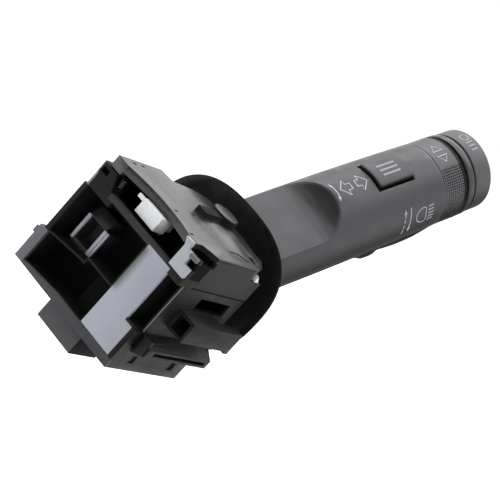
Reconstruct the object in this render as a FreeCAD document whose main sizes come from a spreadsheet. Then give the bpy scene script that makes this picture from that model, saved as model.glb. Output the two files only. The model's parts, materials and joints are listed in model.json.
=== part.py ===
import FreeCAD, Part
import math
import os
import Sketcher

# Combination stalk switch, millimetres and degrees.
# Frame: +X from the lever towards the steering column, +Y up in the car, +Z towards the driver.
# The origin is on the back seating face, in the lever's own plane, at the middle of the cross rail.

# Driving sizes: name, value, what it is
SIZES = [
    ("lever_tilt", 34, "angle of the lever out of the seat's normal"),
    ("seat_to_disc", 50, "seating face to the rim of the shield disc"),
    ("axis_drop", 8, "lever axis below the cross rail at the disc"),
    ("pivot_reach", 10.6, "disc rim to the turn axis, along X"),
    ("case_depth", 41.2, "seating face to the front wall"),
    ("case_right", 24.4, "side with the release arm"),
    ("case_left", 23.2, "opposite side"),
    ("case_bottom", 36.3, "underside of the case"),
    ("seam_drop", 1.7, "seam between case and cover"),
    ("lid_top", 10, "outer face of the cover"),
    ("lid_thickness", 1.8, "plate of the cover"),
    ("wall", 1.8, "moulded wall of the case"),
    ("thin_wall", 1.0, "wall beside the guide slot"),
    ("fit_gap", 0.3, "clearance between pieces that move past each other"),
    ("running_gap", 0.05, "radial clearance of a shaft in its bore"),
    ("partition_depth", 14, "seating face to the front of the partition"),
    ("partition", 1.6, "partition behind the mechanism"),
    ("cavity_left", 21.4, "left side of the back cavities"),
    ("cavity_right", 7.6, "right side of the upper cavity"),
    ("upper_cavity_top", 2.3, "roof of the upper cavity, below the origin"),
    ("mouth_top", 1.4, "mouth of the upper cavity under the cross rail"),
    ("mouth_left", 11, "mouth of the upper cavity, left end"),
    ("left_face_bottom", 3.5, "underside of the left corner above the upper cavity"),
    ("shelf_left", 22.4, "shelf between the cavities, at the left"),
    ("shelf_mid", 20.2, "shelf between the cavities, at the step"),
    ("shelf_right", 18.2, "shelf between the cavities, at the right"),
    ("shelf_thickness", 0.6, "shelf between the cavities"),
    ("lower_cavity_right", 8.7, "right side of the lower cavity"),
    ("lower_cavity_bottom", 33, "floor of the lower cavity at the right"),
    ("lower_cavity_corner", 35, "floor of the lower cavity at the left"),
    ("shallow_floor", 6.0, "depth of the shallow part of the lower cavity"),
    ("rail_top", 0.4, "cross rail under the window"),
    ("rail_depth", 2.6, "cross rail, front to back"),
    ("window_left", 16.0, "left side of the window"),
    ("gusset_right", 13.4, "gusset beside the left post"),
    ("gusset_depth", 1.2, "gusset beside the left post"),
    ("post_chamfer", 1.5, "outer edge of the left post"),
    ("window_right", 16.5, "right side of the window"),
    ("post_depth", 8.7, "corner posts, front to back"),
    ("left_post_top", 5.5, "top of the left post"),
    ("guide_slot_left", 19.0, "guide slot"),
    ("guide_slot_top", 2.4, "guide slot"),
    ("guide_slot_bottom", 20.7, "guide slot"),
    ("guide_slot_depth", 10, "guide slot"),
    ("side_edge_setback", 3.7, "side wall ends short of the seating face beside the slot"),
    ("side_step", 1.8, "step of the left side at the lower corner"),
    ("side_step_top", 23.2, "top of that step"),
    ("side_step_depth", 12, "front to back"),
    ("arm_out", 31.5, "outer face of the release arm"),
    ("arm_front", 42.4, "front tip of the release arm"),
    ("arm_back", 12.6, "open end of the release arm"),
    ("arm_top", 10.2, "top face of the release arm"),
    ("arm_bottom", 17.4, "bottom face of the release arm"),
    ("arm_wall", 1.1, "wall of the arm's box section"),
    ("arm_root", 32, "where the arm leaves the case wall"),
    ("arm_web", 4.2, "solid front part of the arm, thickness"),
    ("wing_out", 29.0, "outer edge of the wing"),
    ("wing_front", 42.8, "front tip of the wing"),
    ("wing_back", 6.0, "rear end of the wing"),
    ("wing_top", 23.9, "top of the wing's edge"),
    ("wing_bottom", 27.0, "bottom of the wing's edge"),
    ("plate_left", 8.0, "seat plate"),
    ("plate_wide", 22.6, "seat plate below the guide slot"),
    ("plate_top", 0.7, "seat plate"),
    ("plate_bottom", 33.2, "seat plate"),
    ("plate_thickness", 1.4, "seat plate"),
    ("post_hole_low", 3.6, "rectangular hole in the right post"),
    ("post_hole_high", 6.1, "rectangular hole in the right post"),
    ("post_hole_left", 21.2, "rectangular hole in the right post"),
    ("pad_left", 17.0, "pale pad on the right post"),
    ("pad_top", 7.5, "pale pad on the right post"),
    ("pad_neck", 19.0, "neck of the pad, right side"),
    ("pad_neck_top", 9.9, "neck of the pad"),
    ("pocket_wall", 2.6, "back wall of the deep pocket in the right post"),
    ("pocket_left", 18.2, "pocket in the right post"),
    ("pocket_floor", 0.8, "pocket in the right post"),
    ("pocket_edge", 6.0, "outer wall of the pocket"),
    ("pocket_front", 10.5, "front end of the lowered outer wall"),
    ("lid_left", 20.2, "left edge of the cover plate"),
    ("lid_step_depth", 25.3, "where the cover plate steps in, from the seating face"),
    ("lid_front", 45.2, "front edge of the cover plate at the pivot"),
    ("lid_bow", 36, "radius of the bowed back rim"),
    ("rim_height", 2.8, "height of the bowed rim"),
    ("rim_start", 15.4, "left end of the bow"),
    ("rim_end", 15.6, "right end of the bow"),
    ("rim_setback", 1.6, "seating face to the right end of the bow"),
    ("corner_block_low", 6.0, "light block under the left corner of the cover"),
    ("boss_radius", 4.75, "pivot boss on the cover"),
    ("boss_height", 2.9, "pivot boss on the cover"),
    ("rib_length", 15, "rib from the boss along the cover"),
    ("journal_radius", 3.0, "turn journal"),
    ("journal_length", 4.3, "upper turn journal"),
    ("yoke_half_width", 10.8, "turn carrier"),
    ("yoke_cheek", 2.8, "cheek of the turn carrier"),
    ("yoke_front", 6.0, "turn axis to the carrier's front face"),
    ("yoke_back", 8.4, "turn axis to the carrier's back face"),
    ("yoke_top", 7.0, "top face of the carrier"),
    ("yoke_web", 3.5, "webs of the carrier"),
    ("yoke_bottom", 28.0, "bottom face of the carrier"),
    ("front_opening", 13.2, "half width of the opening for the lever"),
    ("beam_pin_radius", 2.0, "pin of the beam axis"),
    ("hub_radius", 6.0, "hub of the lever arm"),
    ("shank_radius", 7.0, "shank of the lever arm"),
    ("shank_bore", 3.4, "wire passage in the shank"),
    ("shank_end", 57, "disc centre to the end of the shank"),
    ("tail_radius", 3.6, "tail of the lever arm"),
    ("tail_end", 19.0, "turn axis to the end of the tail"),
    ("plunger_radius", 2.2, "detent plunger"),
    ("plunger_reach", 22.0, "turn axis to the tip of the plunger"),
    ("plunger_bore_depth", 12, "bore in the tail"),
    ("track_half_width", 8, "detent track"),
    ("track_half_height", 7, "detent track"),
    ("drive_radius", 14.4, "turn axis to the pin that drives the turn slider"),
    ("drive_pin", 1.4, "radius of that pin"),
    ("beam_drive", 12.4, "beam axis to the pin that drives the beam slider"),
    ("beam_drive_pin", 1.2, "radius of that pin"),
    ("slider_plate", 2.3, "thickness of the sliders"),
    ("board_thickness", 1.4, "contact boards"),
    ("pawl_pin_depth", 13.5, "seating face to the pawl's pin"),
    ("pawl_pin_radius", 1.2, "pawl pin"),
    ("pawl_nose", 2.2, "seating face to the pawl's nose"),
    ("pawl_half_width", 5.3, "pawl at its nose"),
    ("pawl_bottom", 1.7, "underside of the pawl above the origin"),
    ("pawl_top", 6.8, "upper side of the pawl"),
    ("coil_radius", 1.1, "pawl spring"),
    ("coil_wire", 0.25, "wire radius of the pawl spring"),
    ("disc_half_width", 29.2, "shield disc along Y"),
    ("disc_half_height", 24.1, "shield disc along Z"),
    ("disc_rise", 1.6, "disc centre above the lever axis"),
    ("disc_shift", 0.5, "disc centre beside the lever axis"),
    ("disc_roundness", 2.56, "exponent of the disc's outline"),
    ("disc_dish", 3.2, "depth of the dish"),
    ("disc_thickness", 1.1, "shield disc"),
    ("disc_slope", 5.4, "width of the sloping rim"),
    ("handle_radius", 15.8, "handle at its middle"),
    ("root_taper", 0.4, "handle's middle radius less its radius at the disc"),
    ("end_taper", 0.3, "handle's radius at the disc less its radius at the scroll ring"),
    ("handle_wall", 2.0, "handle shell"),
    ("handle_end", 97.7, "disc centre to the ring seam"),
    ("scoop_turn", 8, "scoop turned about the lever axis"),
    ("scoop_floor", 9.9, "lever axis to the scoop's floor"),
    ("scoop_start", 38, "where the run-out begins"),
    ("scoop_runout", 16, "radius of the run-out"),
    ("cover_chord", 9.6, "lever axis to the split of the handle cover"),
    ("cover_start", 14, "handle cover"),
    ("cover_end", 92, "handle cover"),
    ("button_start", 69.2, "menu button"),
    ("button_end", 84.8, "menu button"),
    ("button_half_width", 5.6, "menu button"),
    ("button_proud", 1.7, "menu button above the handle"),
    ("button_gap", 0.8, "gap round the menu button"),
    ("button_travel", 1.0, "menu button"),
    ("board_level", 5.4, "lever axis to the lever board"),
    ("ring_inset", 0.1, "scroll ring under the handle's end"),
    ("ring_length", 10.7, "scroll ring"),
    ("ring_wall", 1.6, "scroll ring and its gap to the dial core"),
    ("groove_width", 1.3, "black groove outside the scroll ring"),
    ("collar_length", 2.8, "gloss collar"),
    ("collar_inset", 0.1, "gloss collar under the scroll ring"),
    ("collar_lip", 0.9, "gloss collar beyond the end cap"),
    ("cap_wall", 1.8, "crown of the end cap"),
    ("cap_travel", 1.0, "end cap"),
    ("spigot_length", 8.4, "spigot that guides the end cap"),
    ("screw_radius", 1.3, "board and handle screws"),
    ("connector_front", 19, "seating face to the connector's front side"),
    ("connector_back", 4, "seating face to the connector's back side"),
    ("connector_left", 7.2, "connector shroud"),
    ("connector_right", 10.2, "connector shroud"),
    ("connector_length", 8.0, "connector shroud below the case"),
    ("connector_wall", 1.2, "connector shroud"),
    ("blade", 0.8, "terminal blades"),
    ("blade_pitch", 2.6, "terminal blades"),
    ("blade_row", 7.4, "distance between the two rows"),
    ("blades_in_row", 6, "terminal blades"),
    ("socket_left", 17.1, "rear socket"),
    ("socket_right", 6.7, "rear socket"),
    ("socket_top", 10.2, "rear socket"),
    ("socket_bottom", 20.3, "rear socket"),
    ("socket_face", 4.2, "seating face to the rear socket's face"),
    ("socket_wall", 1.2, "rear socket, left bar and ends"),
    ("socket_bar", 2.2, "rear socket, right bar"),
    ("socket_roof", 3.6, "rise of the sloping roof"),
    ("socket_ridge", 7.6, "seating face to the ridge of that roof"),
    ("bar_depth", 0.8, "pale bars on the socket's face"),
    ("bearing_radius", 5.0, "lower bearing of the turn axis"),
    ("shelf_level", 4.0, "lower shelf of the cover beside the step"),
    ("ledge_level", 5.3, "top of the skirt where the front corner is cut back"),
    ("lid_inner", 14.0, "edge of the cover plate beside the pivot"),
    ("lid_back", 0.3, "back rim of the cover plate, from the seating face"),
    ("ear_tip", 43.2, "tip of the cover's ear, from the seating face"),
    ("rib_height", 2.0, "rib behind the boss"),
    ("edge_round", 0.4, "small edge radius"),
    ("corner_notch", 5.0, "cut-out at the cover's back corner, along X"),
    ("sheet_gap", 0.1, "fit of plates and covers in their seats"),
    ("beam_slider_half", 3.5, "half length of the beam slider"),
    ("turn_slider_reach", 5, "turn slider along its travel"),
    ("contact_board_reach", 8.6, "contact board along the slider's travel"),
    ("wiper_half", 3.2, "turn wiper"),
    ("wiper_reach", 4.2, "turn wiper"),
    ("wiper_strip", 1.0, "strips of the turn wiper"),
    ("wiper_thickness", 0.2, "contact sheet"),
    ("turn_slider_half", 4.0, "half length of the turn slider"),
    ("turn_slider_height", 3.0, "turn slider"),
    ("beam_board_half", 8, "beam board, half width"),
    ("beam_board_rise", 9.6, "beam board, half height"),
    ("lever_board_half", 9, "lever board, half width"),
    ("board_screw_inset", 1.8, "board screws from the board's corner"),
    ("beam_post", 3.2, "posts under the beam board"),
    ("track_depth", 5.0, "detent track, front to back"),
    ("coil_pitch", 0.75, "pawl spring"),
    ("coil_height", 3.0, "pawl spring"),
    ("coil_depth", 3.1, "seating face to the pawl spring's axis"),
    ("coil_side", 14.3, "lever plane to the pawl spring's axis"),
    ("coil_stand", 2.5, "top of the stand under the pawl spring"),
    ("flange_inner", 20, "disc centre to the inner flange of the arm"),
    ("flange_thickness", 3.0, "flanges of the arm"),
    ("flange_inset", 6, "handle's middle radius less half a flange"),
    ("flange_low", 9.0, "flanges towards the handle cover"),
    ("flange_high", 7.4, "flanges towards the scoop"),
    ("plunger_spring_room", 6.0, "length of the plunger spring"),
    ("handle_bow", 2600, "radius of the handle's barrel curve"),
    ("handle_overlap", 14, "handle blank beyond the disc before it is trimmed"),
    ("screw_length", 2.6, "handle screw heads in their bores"),
    ("button_base", 9.5, "lever axis to the underside of the menu button"),
    ("button_round", 1.2, "corners of the menu button"),
    ("button_lip", 1.4, "lip of the menu button"),
    ("spigot_step", 0.9, "shoulder of the dial core at its spigot"),
    ("core_wall", 1.8, "spigot wall"),
    ("core_web", 2.3, "handle's end to the floor of the core's bore"),
    ("collar_foot", 0.8, "foot of the collar on the core"),
    ("bead", 0.6, "bead that keeps the scroll ring on"),
    ("bead_gap", 0.4, "gap beside the bead"),
    ("cap_shoulder", 1.5, "rounded shoulder of the end cap"),
    ("cap_shoulder_curve", 1.5, "radius of that shoulder"),
    ("cap_crown", 200, "crown of the end cap"),
    ("end_spring_radius", 4, "end spring"),
    ("side_nub", 1.2, "small nub on the left side"),
    ("side_mark", 3.0, "recesses in the side under the wing"),
    ("mark_depth", 0.6, "small slots and recesses"),
]


class Size:
    """A number and the spreadsheet expression that gives it."""

    def __init__(self, value, text):
        self.value = float(value)
        self.text = text

    def __add__(self, other):
        other = as_size(other)
        return Size(self.value + other.value, f"({self.text} + {other.text})")

    def __sub__(self, other):
        other = as_size(other)
        return Size(self.value - other.value, f"({self.text} - {other.text})")

    def __mul__(self, other):
        other = as_size(other)
        return Size(self.value * other.value, f"({self.text} * {other.text})")

    def __truediv__(self, other):
        other = as_size(other)
        return Size(self.value / other.value, f"({self.text} / {other.text})")

    def __neg__(self):
        return Size(-self.value, f"(0 - {self.text})")

    __radd__ = __add__

    def __rsub__(self, other):
        return as_size(other) - self

    __rmul__ = __mul__


def as_size(item):
    return item if isinstance(item, Size) else Size(item, repr(item))


def sine(angle):
    return Size(math.sin(math.radians(angle.value)), f"sin({angle.text})")


def cosine(angle):
    return Size(math.cos(math.radians(angle.value)), f"cos({angle.text})")


def root(size):
    return Size(math.sqrt(size.value), f"sqrt({size.text})")


class Sizes:
    """The spreadsheet with the driving sizes."""

    def __init__(self, document):
        self.sheet = document.addObject("Spreadsheet::Sheet", "Sizes")
        for row, (name, value, meaning) in enumerate(SIZES, start=1):
            self.sheet.set(f"A{row}", name)
            self.sheet.set(f"B{row}", str(value))
            self.sheet.set(f"C{row}", meaning)
            self.sheet.setAlias(f"B{row}", name)
            setattr(self, name, Size(value, f"Sizes.{name}"))


doc = FreeCAD.newDocument("StalkSwitch")
S = Sizes(doc)
doc.recompute()
parts = []

# Places worked out from the driving sizes
DISC_X = -S.seat_to_disc
DISC_Z = -S.axis_drop
PIVOT_X = DISC_X + S.pivot_reach
SLOPE = sine(S.lever_tilt) / cosine(S.lever_tilt)
PIVOT_Z = DISC_Z - S.pivot_reach * SLOPE
PIVOT_S = -S.pivot_reach / cosine(S.lever_tilt)
FRONT = -S.case_depth
FLOOR = -S.case_bottom
SEAM = -S.seam_drop
CHAMBER_BACK = -S.partition_depth
CAVITY_BACK = CHAMBER_BACK + S.partition
LID_UNDER = S.lid_top - S.lid_thickness
ROOT_RADIUS = S.handle_radius - S.root_taper
END_RADIUS = ROOT_RADIUS - S.end_taper
RING_RADIUS = END_RADIUS - S.ring_inset
CORE_RADIUS = RING_RADIUS - S.ring_wall
SPIGOT_RADIUS = CORE_RADIUS - S.spigot_step
COLLAR_RADIUS = RING_RADIUS - S.collar_inset
CAP_RADIUS = COLLAR_RADIUS - S.collar_lip
RING_START = S.handle_end + S.fit_gap
RING_END = RING_START + S.ring_length
COLLAR_START = RING_END + S.groove_width
COLLAR_END = COLLAR_START + S.collar_length
CORE_FLOOR = S.handle_end + S.core_web
SHOULDER = COLLAR_START + S.collar_foot
SPIGOT_END = SHOULDER + S.spigot_length
CAP_FLOOR = SPIGOT_END + S.cap_travel + 0.2
CAP_END = CAP_FLOOR + S.cap_wall
STEP_Y = -S.socket_right + 2.0
AXES = {"XY_Plane": 1, "XZ_Plane": -1, "YZ_Plane": 1}


def lever_placement():
    """The lever's own frame: origin at the disc centre, Z out along the lever."""
    base = FreeCAD.Vector(DISC_X.value, 0, DISC_Z.value)
    turn = FreeCAD.Rotation(FreeCAD.Vector(0, 1, 0), S.lever_tilt.value - 90)
    return FreeCAD.Placement(base, turn)


def bind(item, path, size):
    item.setExpression(path, as_size(size).text)


def new_body(label):
    body = doc.addObject("PartDesign::Body", label)
    body.Label = label
    return body


def origin_item(body, role):
    for item in body.Origin.OriginFeatures:
        if item.Role == role:
            return item
    raise ValueError(role)


def new_sketch(body, plane, level, turn=None):
    """A sketch parallel to an origin plane, at a level along the plane's axis; turn is about Z."""
    sketch = body.newObject("Sketcher::SketchObject", body.Label + "_sketch")
    sketch.AttachmentSupport = (origin_item(body, plane), "")
    sketch.MapMode = "FlatFace"
    turn = as_size(turn or 0)
    rotation = FreeCAD.Rotation(FreeCAD.Vector(0, 1, 0), turn.value)
    level = as_size(level) * AXES[plane]
    across = level * sine(turn)
    forward = level * cosine(turn)
    sketch.AttachmentOffset = FreeCAD.Placement(FreeCAD.Vector(across.value, 0, forward.value), rotation)
    bind(sketch, "AttachmentOffset.Base.x", across)
    bind(sketch, "AttachmentOffset.Base.z", forward)
    return sketch


def fix_point(sketch, edge, end, point):
    """Bind one point of an edge to its two coordinates."""
    for kind, size in zip(("DistanceX", "DistanceY"), point):
        size = as_size(size)
        index = sketch.addConstraint(Sketcher.Constraint(kind, -1, 1, edge, end, size.value))
        bind(sketch, f"Constraints[{index}]", size)


def outline(sketch, points, bulges=None):
    """A closed outline; bulges gives the radius of a curved side by its first corner."""
    bulges = bulges or {}
    corners = [FreeCAD.Vector(as_size(u).value, as_size(v).value, 0) for u, v in points]
    count = len(corners)
    arcs = {}
    for first in range(count):
        start = corners[first]
        end = corners[(first + 1) % count]
        if first in bulges:
            middle = bulge_point(start, end, bulges[first].value)
            sketch.addGeometry(Part.Arc(start, middle, end), False)
            arcs[first] = arc_ends(sketch, first, start)
        else:
            sketch.addGeometry(Part.LineSegment(start, end), False)
            arcs[first] = (1, 2)
    for first in range(count):
        after = (first + 1) % count
        joint = Sketcher.Constraint("Coincident", first, arcs[first][1], after, arcs[after][0])
        sketch.addConstraint(joint)
    for first, point in enumerate(points):
        fix_point(sketch, first, arcs[first][0], point)
    for first, radius in bulges.items():
        size = radius if radius.value > 0 else -radius
        index = sketch.addConstraint(Sketcher.Constraint("Radius", first, size.value))
        bind(sketch, f"Constraints[{index}]", size)


def bulge_point(start, end, radius):
    """Middle of the arc between two corners; a positive radius bulges to the right."""
    chord = end - start
    half = chord.Length / 2
    rise = abs(radius) - math.sqrt(radius * radius - half * half)
    side = FreeCAD.Vector(chord.y, -chord.x, 0).normalize()
    return (start + end) / 2 + side * math.copysign(rise, radius)


def arc_ends(sketch, edge, start):
    """Which end of a stored arc is the corner it was drawn from."""
    first = sketch.getPoint(edge, 1)
    return (1, 2) if first.distanceToPoint(start) < 1e-6 else (2, 1)


def circle(sketch, centre, radius):
    radius = as_size(radius)
    middle = FreeCAD.Vector(as_size(centre[0]).value, as_size(centre[1]).value, 0)
    shape = Part.Circle(middle, FreeCAD.Vector(0, 0, 1), radius.value)
    edge = sketch.addGeometry(shape, False)
    fix_point(sketch, edge, 3, centre)
    index = sketch.addConstraint(Sketcher.Constraint("Radius", edge, radius.value))
    bind(sketch, f"Constraints[{index}]", radius)


def rectangle(u0, v0, u1, v1):
    return [(u0, v0), (u1, v0), (u1, v1), (u0, v1)]


def extrude(body, plane, points, low, high, cut=False, bulges=None, turn=None):
    """Add or cut an outline between two levels along the plane's axis."""
    low = as_size(low)
    high = as_size(high)
    sketch = new_sketch(body, plane, low, turn)
    if len(points) == 2 and not isinstance(points[1], tuple):
        circle(sketch, points[0], points[1])
    else:
        outline(sketch, points, bulges)
    kind = "PartDesign::Pocket" if cut else "PartDesign::Pad"
    feature = body.newObject(kind, body.Label + ("_cut" if cut else "_pad"))
    feature.Profile = sketch
    feature.Length = (high - low).value
    bind(feature, "Length", high - low)
    forward = AXES[plane] > 0
    feature.Reversed = forward if cut else not forward
    sketch.Visibility = False
    body.Tip = feature
    return feature


def add_block(body, low, high):
    """A block from its lowest to its highest corner."""
    return extrude(body, "XY_Plane", rectangle(low[0], low[1], high[0], high[1]), low[2], high[2])


def cut_block(body, low, high):
    return extrude(body, "XY_Plane", rectangle(low[0], low[1], high[0], high[1]), low[2], high[2], True)


def cut_wide(body, plane, points, low, high, bulges=None, turn=None):
    return extrude(body, plane, points, low, high, True, bulges, turn)


def revolve(body, points, bulges=None):
    """A turned solid about the body's Z axis; each point is radius and height."""
    sketch = new_sketch(body, "XZ_Plane", 0)
    outline(sketch, points, bulges)
    feature = body.newObject("PartDesign::Revolution", body.Label + "_turned")
    feature.Profile = sketch
    feature.ReferenceAxis = (sketch, ["V_Axis"])
    feature.Angle = 360
    body.Tip = feature
    return feature


def round_edges(body, radius, chosen):
    """Fillet the edges that the test function picks from the body's present shape."""
    doc.recompute()
    base = body.Tip
    names = [f"Edge{n}" for n, edge in enumerate(base.Shape.Edges, start=1) if chosen(edge)]
    feature = body.newObject("PartDesign::Fillet", body.Label + "_round")
    feature.Base = (base, names)
    feature.Radius = radius.value
    bind(feature, "Radius", radius)
    body.Tip = feature
    return feature


def along(edge, axis):
    """True for a straight edge parallel to an axis."""
    if edge.Curve.TypeId != "Part::GeomLine":
        return False
    direction = edge.tangentAt(edge.FirstParameter)
    return abs(abs(direction.dot(axis)) - 1) < 1e-6


AXIS_X = FreeCAD.Vector(1, 0, 0)
AXIS_Y = FreeCAD.Vector(0, 1, 0)
AXIS_Z = FreeCAD.Vector(0, 0, 1)


def near(value, size):
    return abs(value - as_size(size).value) < 1e-3


def cylinder(label, radius, length, base, direction, lever=False):
    """A Part cylinder from a base point along a direction."""
    item = doc.addObject("Part::Cylinder", label)
    item.Label = label
    bind(item, "Radius", radius)
    bind(item, "Height", length)
    item.Placement = axis_placement(base, direction)
    if lever:
        item.Placement = lever_placement().multiply(item.Placement)
    return item


def block(label, low, high, lever=False):
    """A Part box from its lowest to its highest corner."""
    item = doc.addObject("Part::Box", label)
    item.Label = label
    for path, first, last in zip(("Length", "Width", "Height"), low, high):
        bind(item, path, as_size(last) - as_size(first))
    item.Placement.Base = vector(low)
    if lever:
        item.Placement = lever_placement().multiply(item.Placement)
    return item


def vector(point):
    return FreeCAD.Vector(*[as_size(value).value for value in point])


def axis_placement(base, direction):
    turn = FreeCAD.Rotation(AXIS_Z, FreeCAD.Vector(*direction))
    return FreeCAD.Placement(vector(base), turn)


def fuse(label, items):
    joined = doc.addObject("Part::MultiFuse", label)
    joined.Label = label
    joined.Shapes = items
    return joined


def cut(label, base, tool):
    left = doc.addObject("Part::Cut", label)
    left.Label = label
    left.Base = base
    left.Tool = tool
    return left


def common(label, items):
    shared = doc.addObject("Part::MultiCommon", label)
    shared.Label = label
    shared.Shapes = items
    return shared


def keep(item, name):
    """Name a finished sub-part; its label is its file name."""
    item.Label = name
    parts.append(item)
    return item


def keep_lever(body, name):
    body.Placement = lever_placement()
    return keep(body, name)


# Switch housing
def make_housing():
    body = new_body("switch_housing")
    right = S.case_right
    left = -S.case_left
    add_block(body, (FRONT, left, FLOOR), (0, right, SEAM))
    add_posts(body)
    add_block(body, (-S.side_step_depth, left - S.side_step, FLOOR), (0, left, -S.side_step_top))
    cut_chamber(body)
    cut_back_cavities(body)
    cut_guide_slot(body)
    cut_plate_seat(body)
    add_release_arm(body)
    add_wing(body)
    add_slider_rails(body)
    add_inner_supports(body)
    keep(body, "switch_housing")


def add_posts(body):
    """Two posts at the back corners and the rail between them."""
    low = SEAM - S.wall
    left = -S.case_left
    edge = S.post_chamfer
    back = -S.post_depth
    inner = -S.window_left
    corner = [(back, left), (-edge, left), (0, left + edge), (0, inner), (back, inner)]
    extrude(body, "XY_Plane", corner, low, S.left_post_top)
    cut_wide(body, "XY_Plane", [(-edge, left), (0, left), (0, left + edge)], -S.left_face_bottom, SEAM)
    add_block(body, (-S.post_depth, S.window_right, low), (0, S.case_right, LID_UNDER))
    add_block(body, (-S.rail_depth, -S.window_left, low), (0, S.window_right, S.rail_top))
    gusset = [(inner, low), (-S.gusset_right, low), (-S.gusset_right, 0), (inner, S.left_post_top)]
    extrude(body, "YZ_Plane", gusset, -S.gusset_depth, 0)
    stand = S.coil_radius + S.coil_wire
    coil = -S.coil_depth
    add_block(body, (coil - stand, inner, low), (coil + stand, stand - S.coil_side, S.coil_stand))
    cut_posts(body)


def cut_posts(body):
    """Slot of the left post; hole, pad seat and deep pocket of the right one."""
    slot = rectangle(-S.cavity_left, S.coil_stand, -S.cavity_left + S.side_mark, S.coil_stand + S.wall)
    cut_wide(body, "YZ_Plane", slot, -S.wall, 0)
    hole = rectangle(S.post_hole_left, S.post_hole_low, S.case_right, S.post_hole_high)
    cut_wide(body, "YZ_Plane", hole, -S.pocket_wall, 0)
    seat = rectangle(S.window_right, 0, S.case_right, LID_UNDER)
    cut_wide(body, "YZ_Plane", seat, -S.plate_thickness, 0)
    wall = -S.pocket_wall
    front = -S.post_depth + S.edge_round
    inner = S.case_right - S.wall
    cut_block(body, (front, S.pocket_left, S.pocket_floor), (wall, inner, LID_UNDER))
    cut_block(body, (-S.post_depth, inner, S.pocket_edge), (wall, S.case_right, LID_UNDER))
    cut_block(body, (wall, S.pad_neck, S.pad_top), (0, S.case_right, LID_UNDER))


def cut_chamber(body):
    """The room for the mechanism, open upwards and towards the lever."""
    inner_left = -S.case_left + S.wall
    inner_right = S.case_right - S.wall
    low = FLOOR + S.wall
    cut_block(body, (FRONT + S.wall, inner_left, low), (CHAMBER_BACK, inner_right, SEAM))
    cut_block(body, (FRONT, -S.front_opening, low), (FRONT + S.wall, S.front_opening, SEAM))


def cut_back_cavities(body):
    """The two recesses of the back face, with a thin stepped shelf between them."""
    step_y = STEP_Y
    upper = [
        (-S.cavity_left, -S.left_face_bottom),
        (-S.cavity_left, -S.shelf_left),
        (step_y - 1.6, -S.shelf_mid),
        (step_y, -S.shelf_mid),
        (step_y, -S.shelf_right),
        (S.cavity_right, -S.shelf_right),
        (S.cavity_right, -S.upper_cavity_top),
        (-S.mouth_left, -S.upper_cavity_top),
        (-S.mouth_left, -S.left_face_bottom),
    ]
    cut_wide(body, "YZ_Plane", upper, CAVITY_BACK, 0)
    mouth = rectangle(-S.mouth_left, -S.upper_cavity_top, S.cavity_right, -S.mouth_top)
    cut_wide(body, "YZ_Plane", mouth, -S.rail_depth / 2, 0)
    drop = S.shelf_thickness
    deep = [
        (-S.cavity_left, -S.shelf_left - drop),
        (-S.cavity_left, -S.lower_cavity_corner),
        (-1.0, -S.lower_cavity_bottom),
        (-1.0, -S.shelf_mid - drop),
        (step_y - 1.6, -S.shelf_mid - drop),
    ]
    cut_wide(body, "YZ_Plane", deep, CAVITY_BACK, 0)
    shallow = [
        (-1.0, -S.shelf_mid - drop),
        (-1.0, -S.lower_cavity_bottom),
        (S.lower_cavity_right, -S.lower_cavity_bottom),
        (S.lower_cavity_right, -S.shelf_right - drop),
        (step_y + drop, -S.shelf_right - drop),
        (step_y + drop, -S.shelf_mid - drop),
    ]
    cut_wide(body, "YZ_Plane", shallow, -S.shallow_floor, 0)


def cut_guide_slot(body):
    """Slot that slides over the column bracket's tongue."""
    inner = S.case_right - S.thin_wall
    slot = rectangle(S.guide_slot_left, -S.guide_slot_bottom, inner, -S.guide_slot_top)
    cut_wide(body, "YZ_Plane", slot, -S.guide_slot_depth, 0)
    edge = rectangle(inner, -S.guide_slot_bottom - 0.8, S.case_right, -S.guide_slot_top)
    cut_wide(body, "YZ_Plane", edge, -S.side_edge_setback, 0)


def cut_plate_seat(body):
    """Shallow seat for the pale plate."""
    cut_wide(body, "YZ_Plane", plate_outline(0), -S.plate_thickness, 0)


def plate_outline(gap):
    left = S.plate_left + gap
    wide = S.plate_wide - gap
    narrow = S.guide_slot_left
    low = -S.plate_bottom + gap
    step = -S.guide_slot_bottom - 0.8 - gap
    top = -S.plate_top - gap
    return [(left, low), (wide, low), (wide, step), (narrow, step), (narrow, top), (left, top)]


def add_release_arm(body):
    """Box-section arm on the side wall; its front part stands clear of the wall and can flex."""
    out = S.arm_out
    wall = S.case_right
    top = -S.arm_top
    low = -S.arm_bottom
    add_block(body, (-S.arm_root, wall, low), (-S.arm_back, out, top))
    add_block(body, (-S.arm_front, out - S.arm_web, low), (-S.arm_root, out, top))
    hollow = rectangle(wall + S.arm_wall, low + S.arm_wall, out - S.arm_wall, top - S.arm_wall)
    cut_wide(body, "YZ_Plane", hollow, -S.arm_root + S.arm_web, -S.arm_back)
    tip = rectangle(-S.arm_front, out - 1.2, -S.arm_front + 2.4, out)
    extrude(body, "XY_Plane", tip, low - 0.8, low)
    window = rectangle(-S.arm_root - 4, top + 0.6, -S.arm_root + 14, top + 5.2)
    cut_wide(body, "XZ_Plane", window, wall - S.wall, wall)


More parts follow.
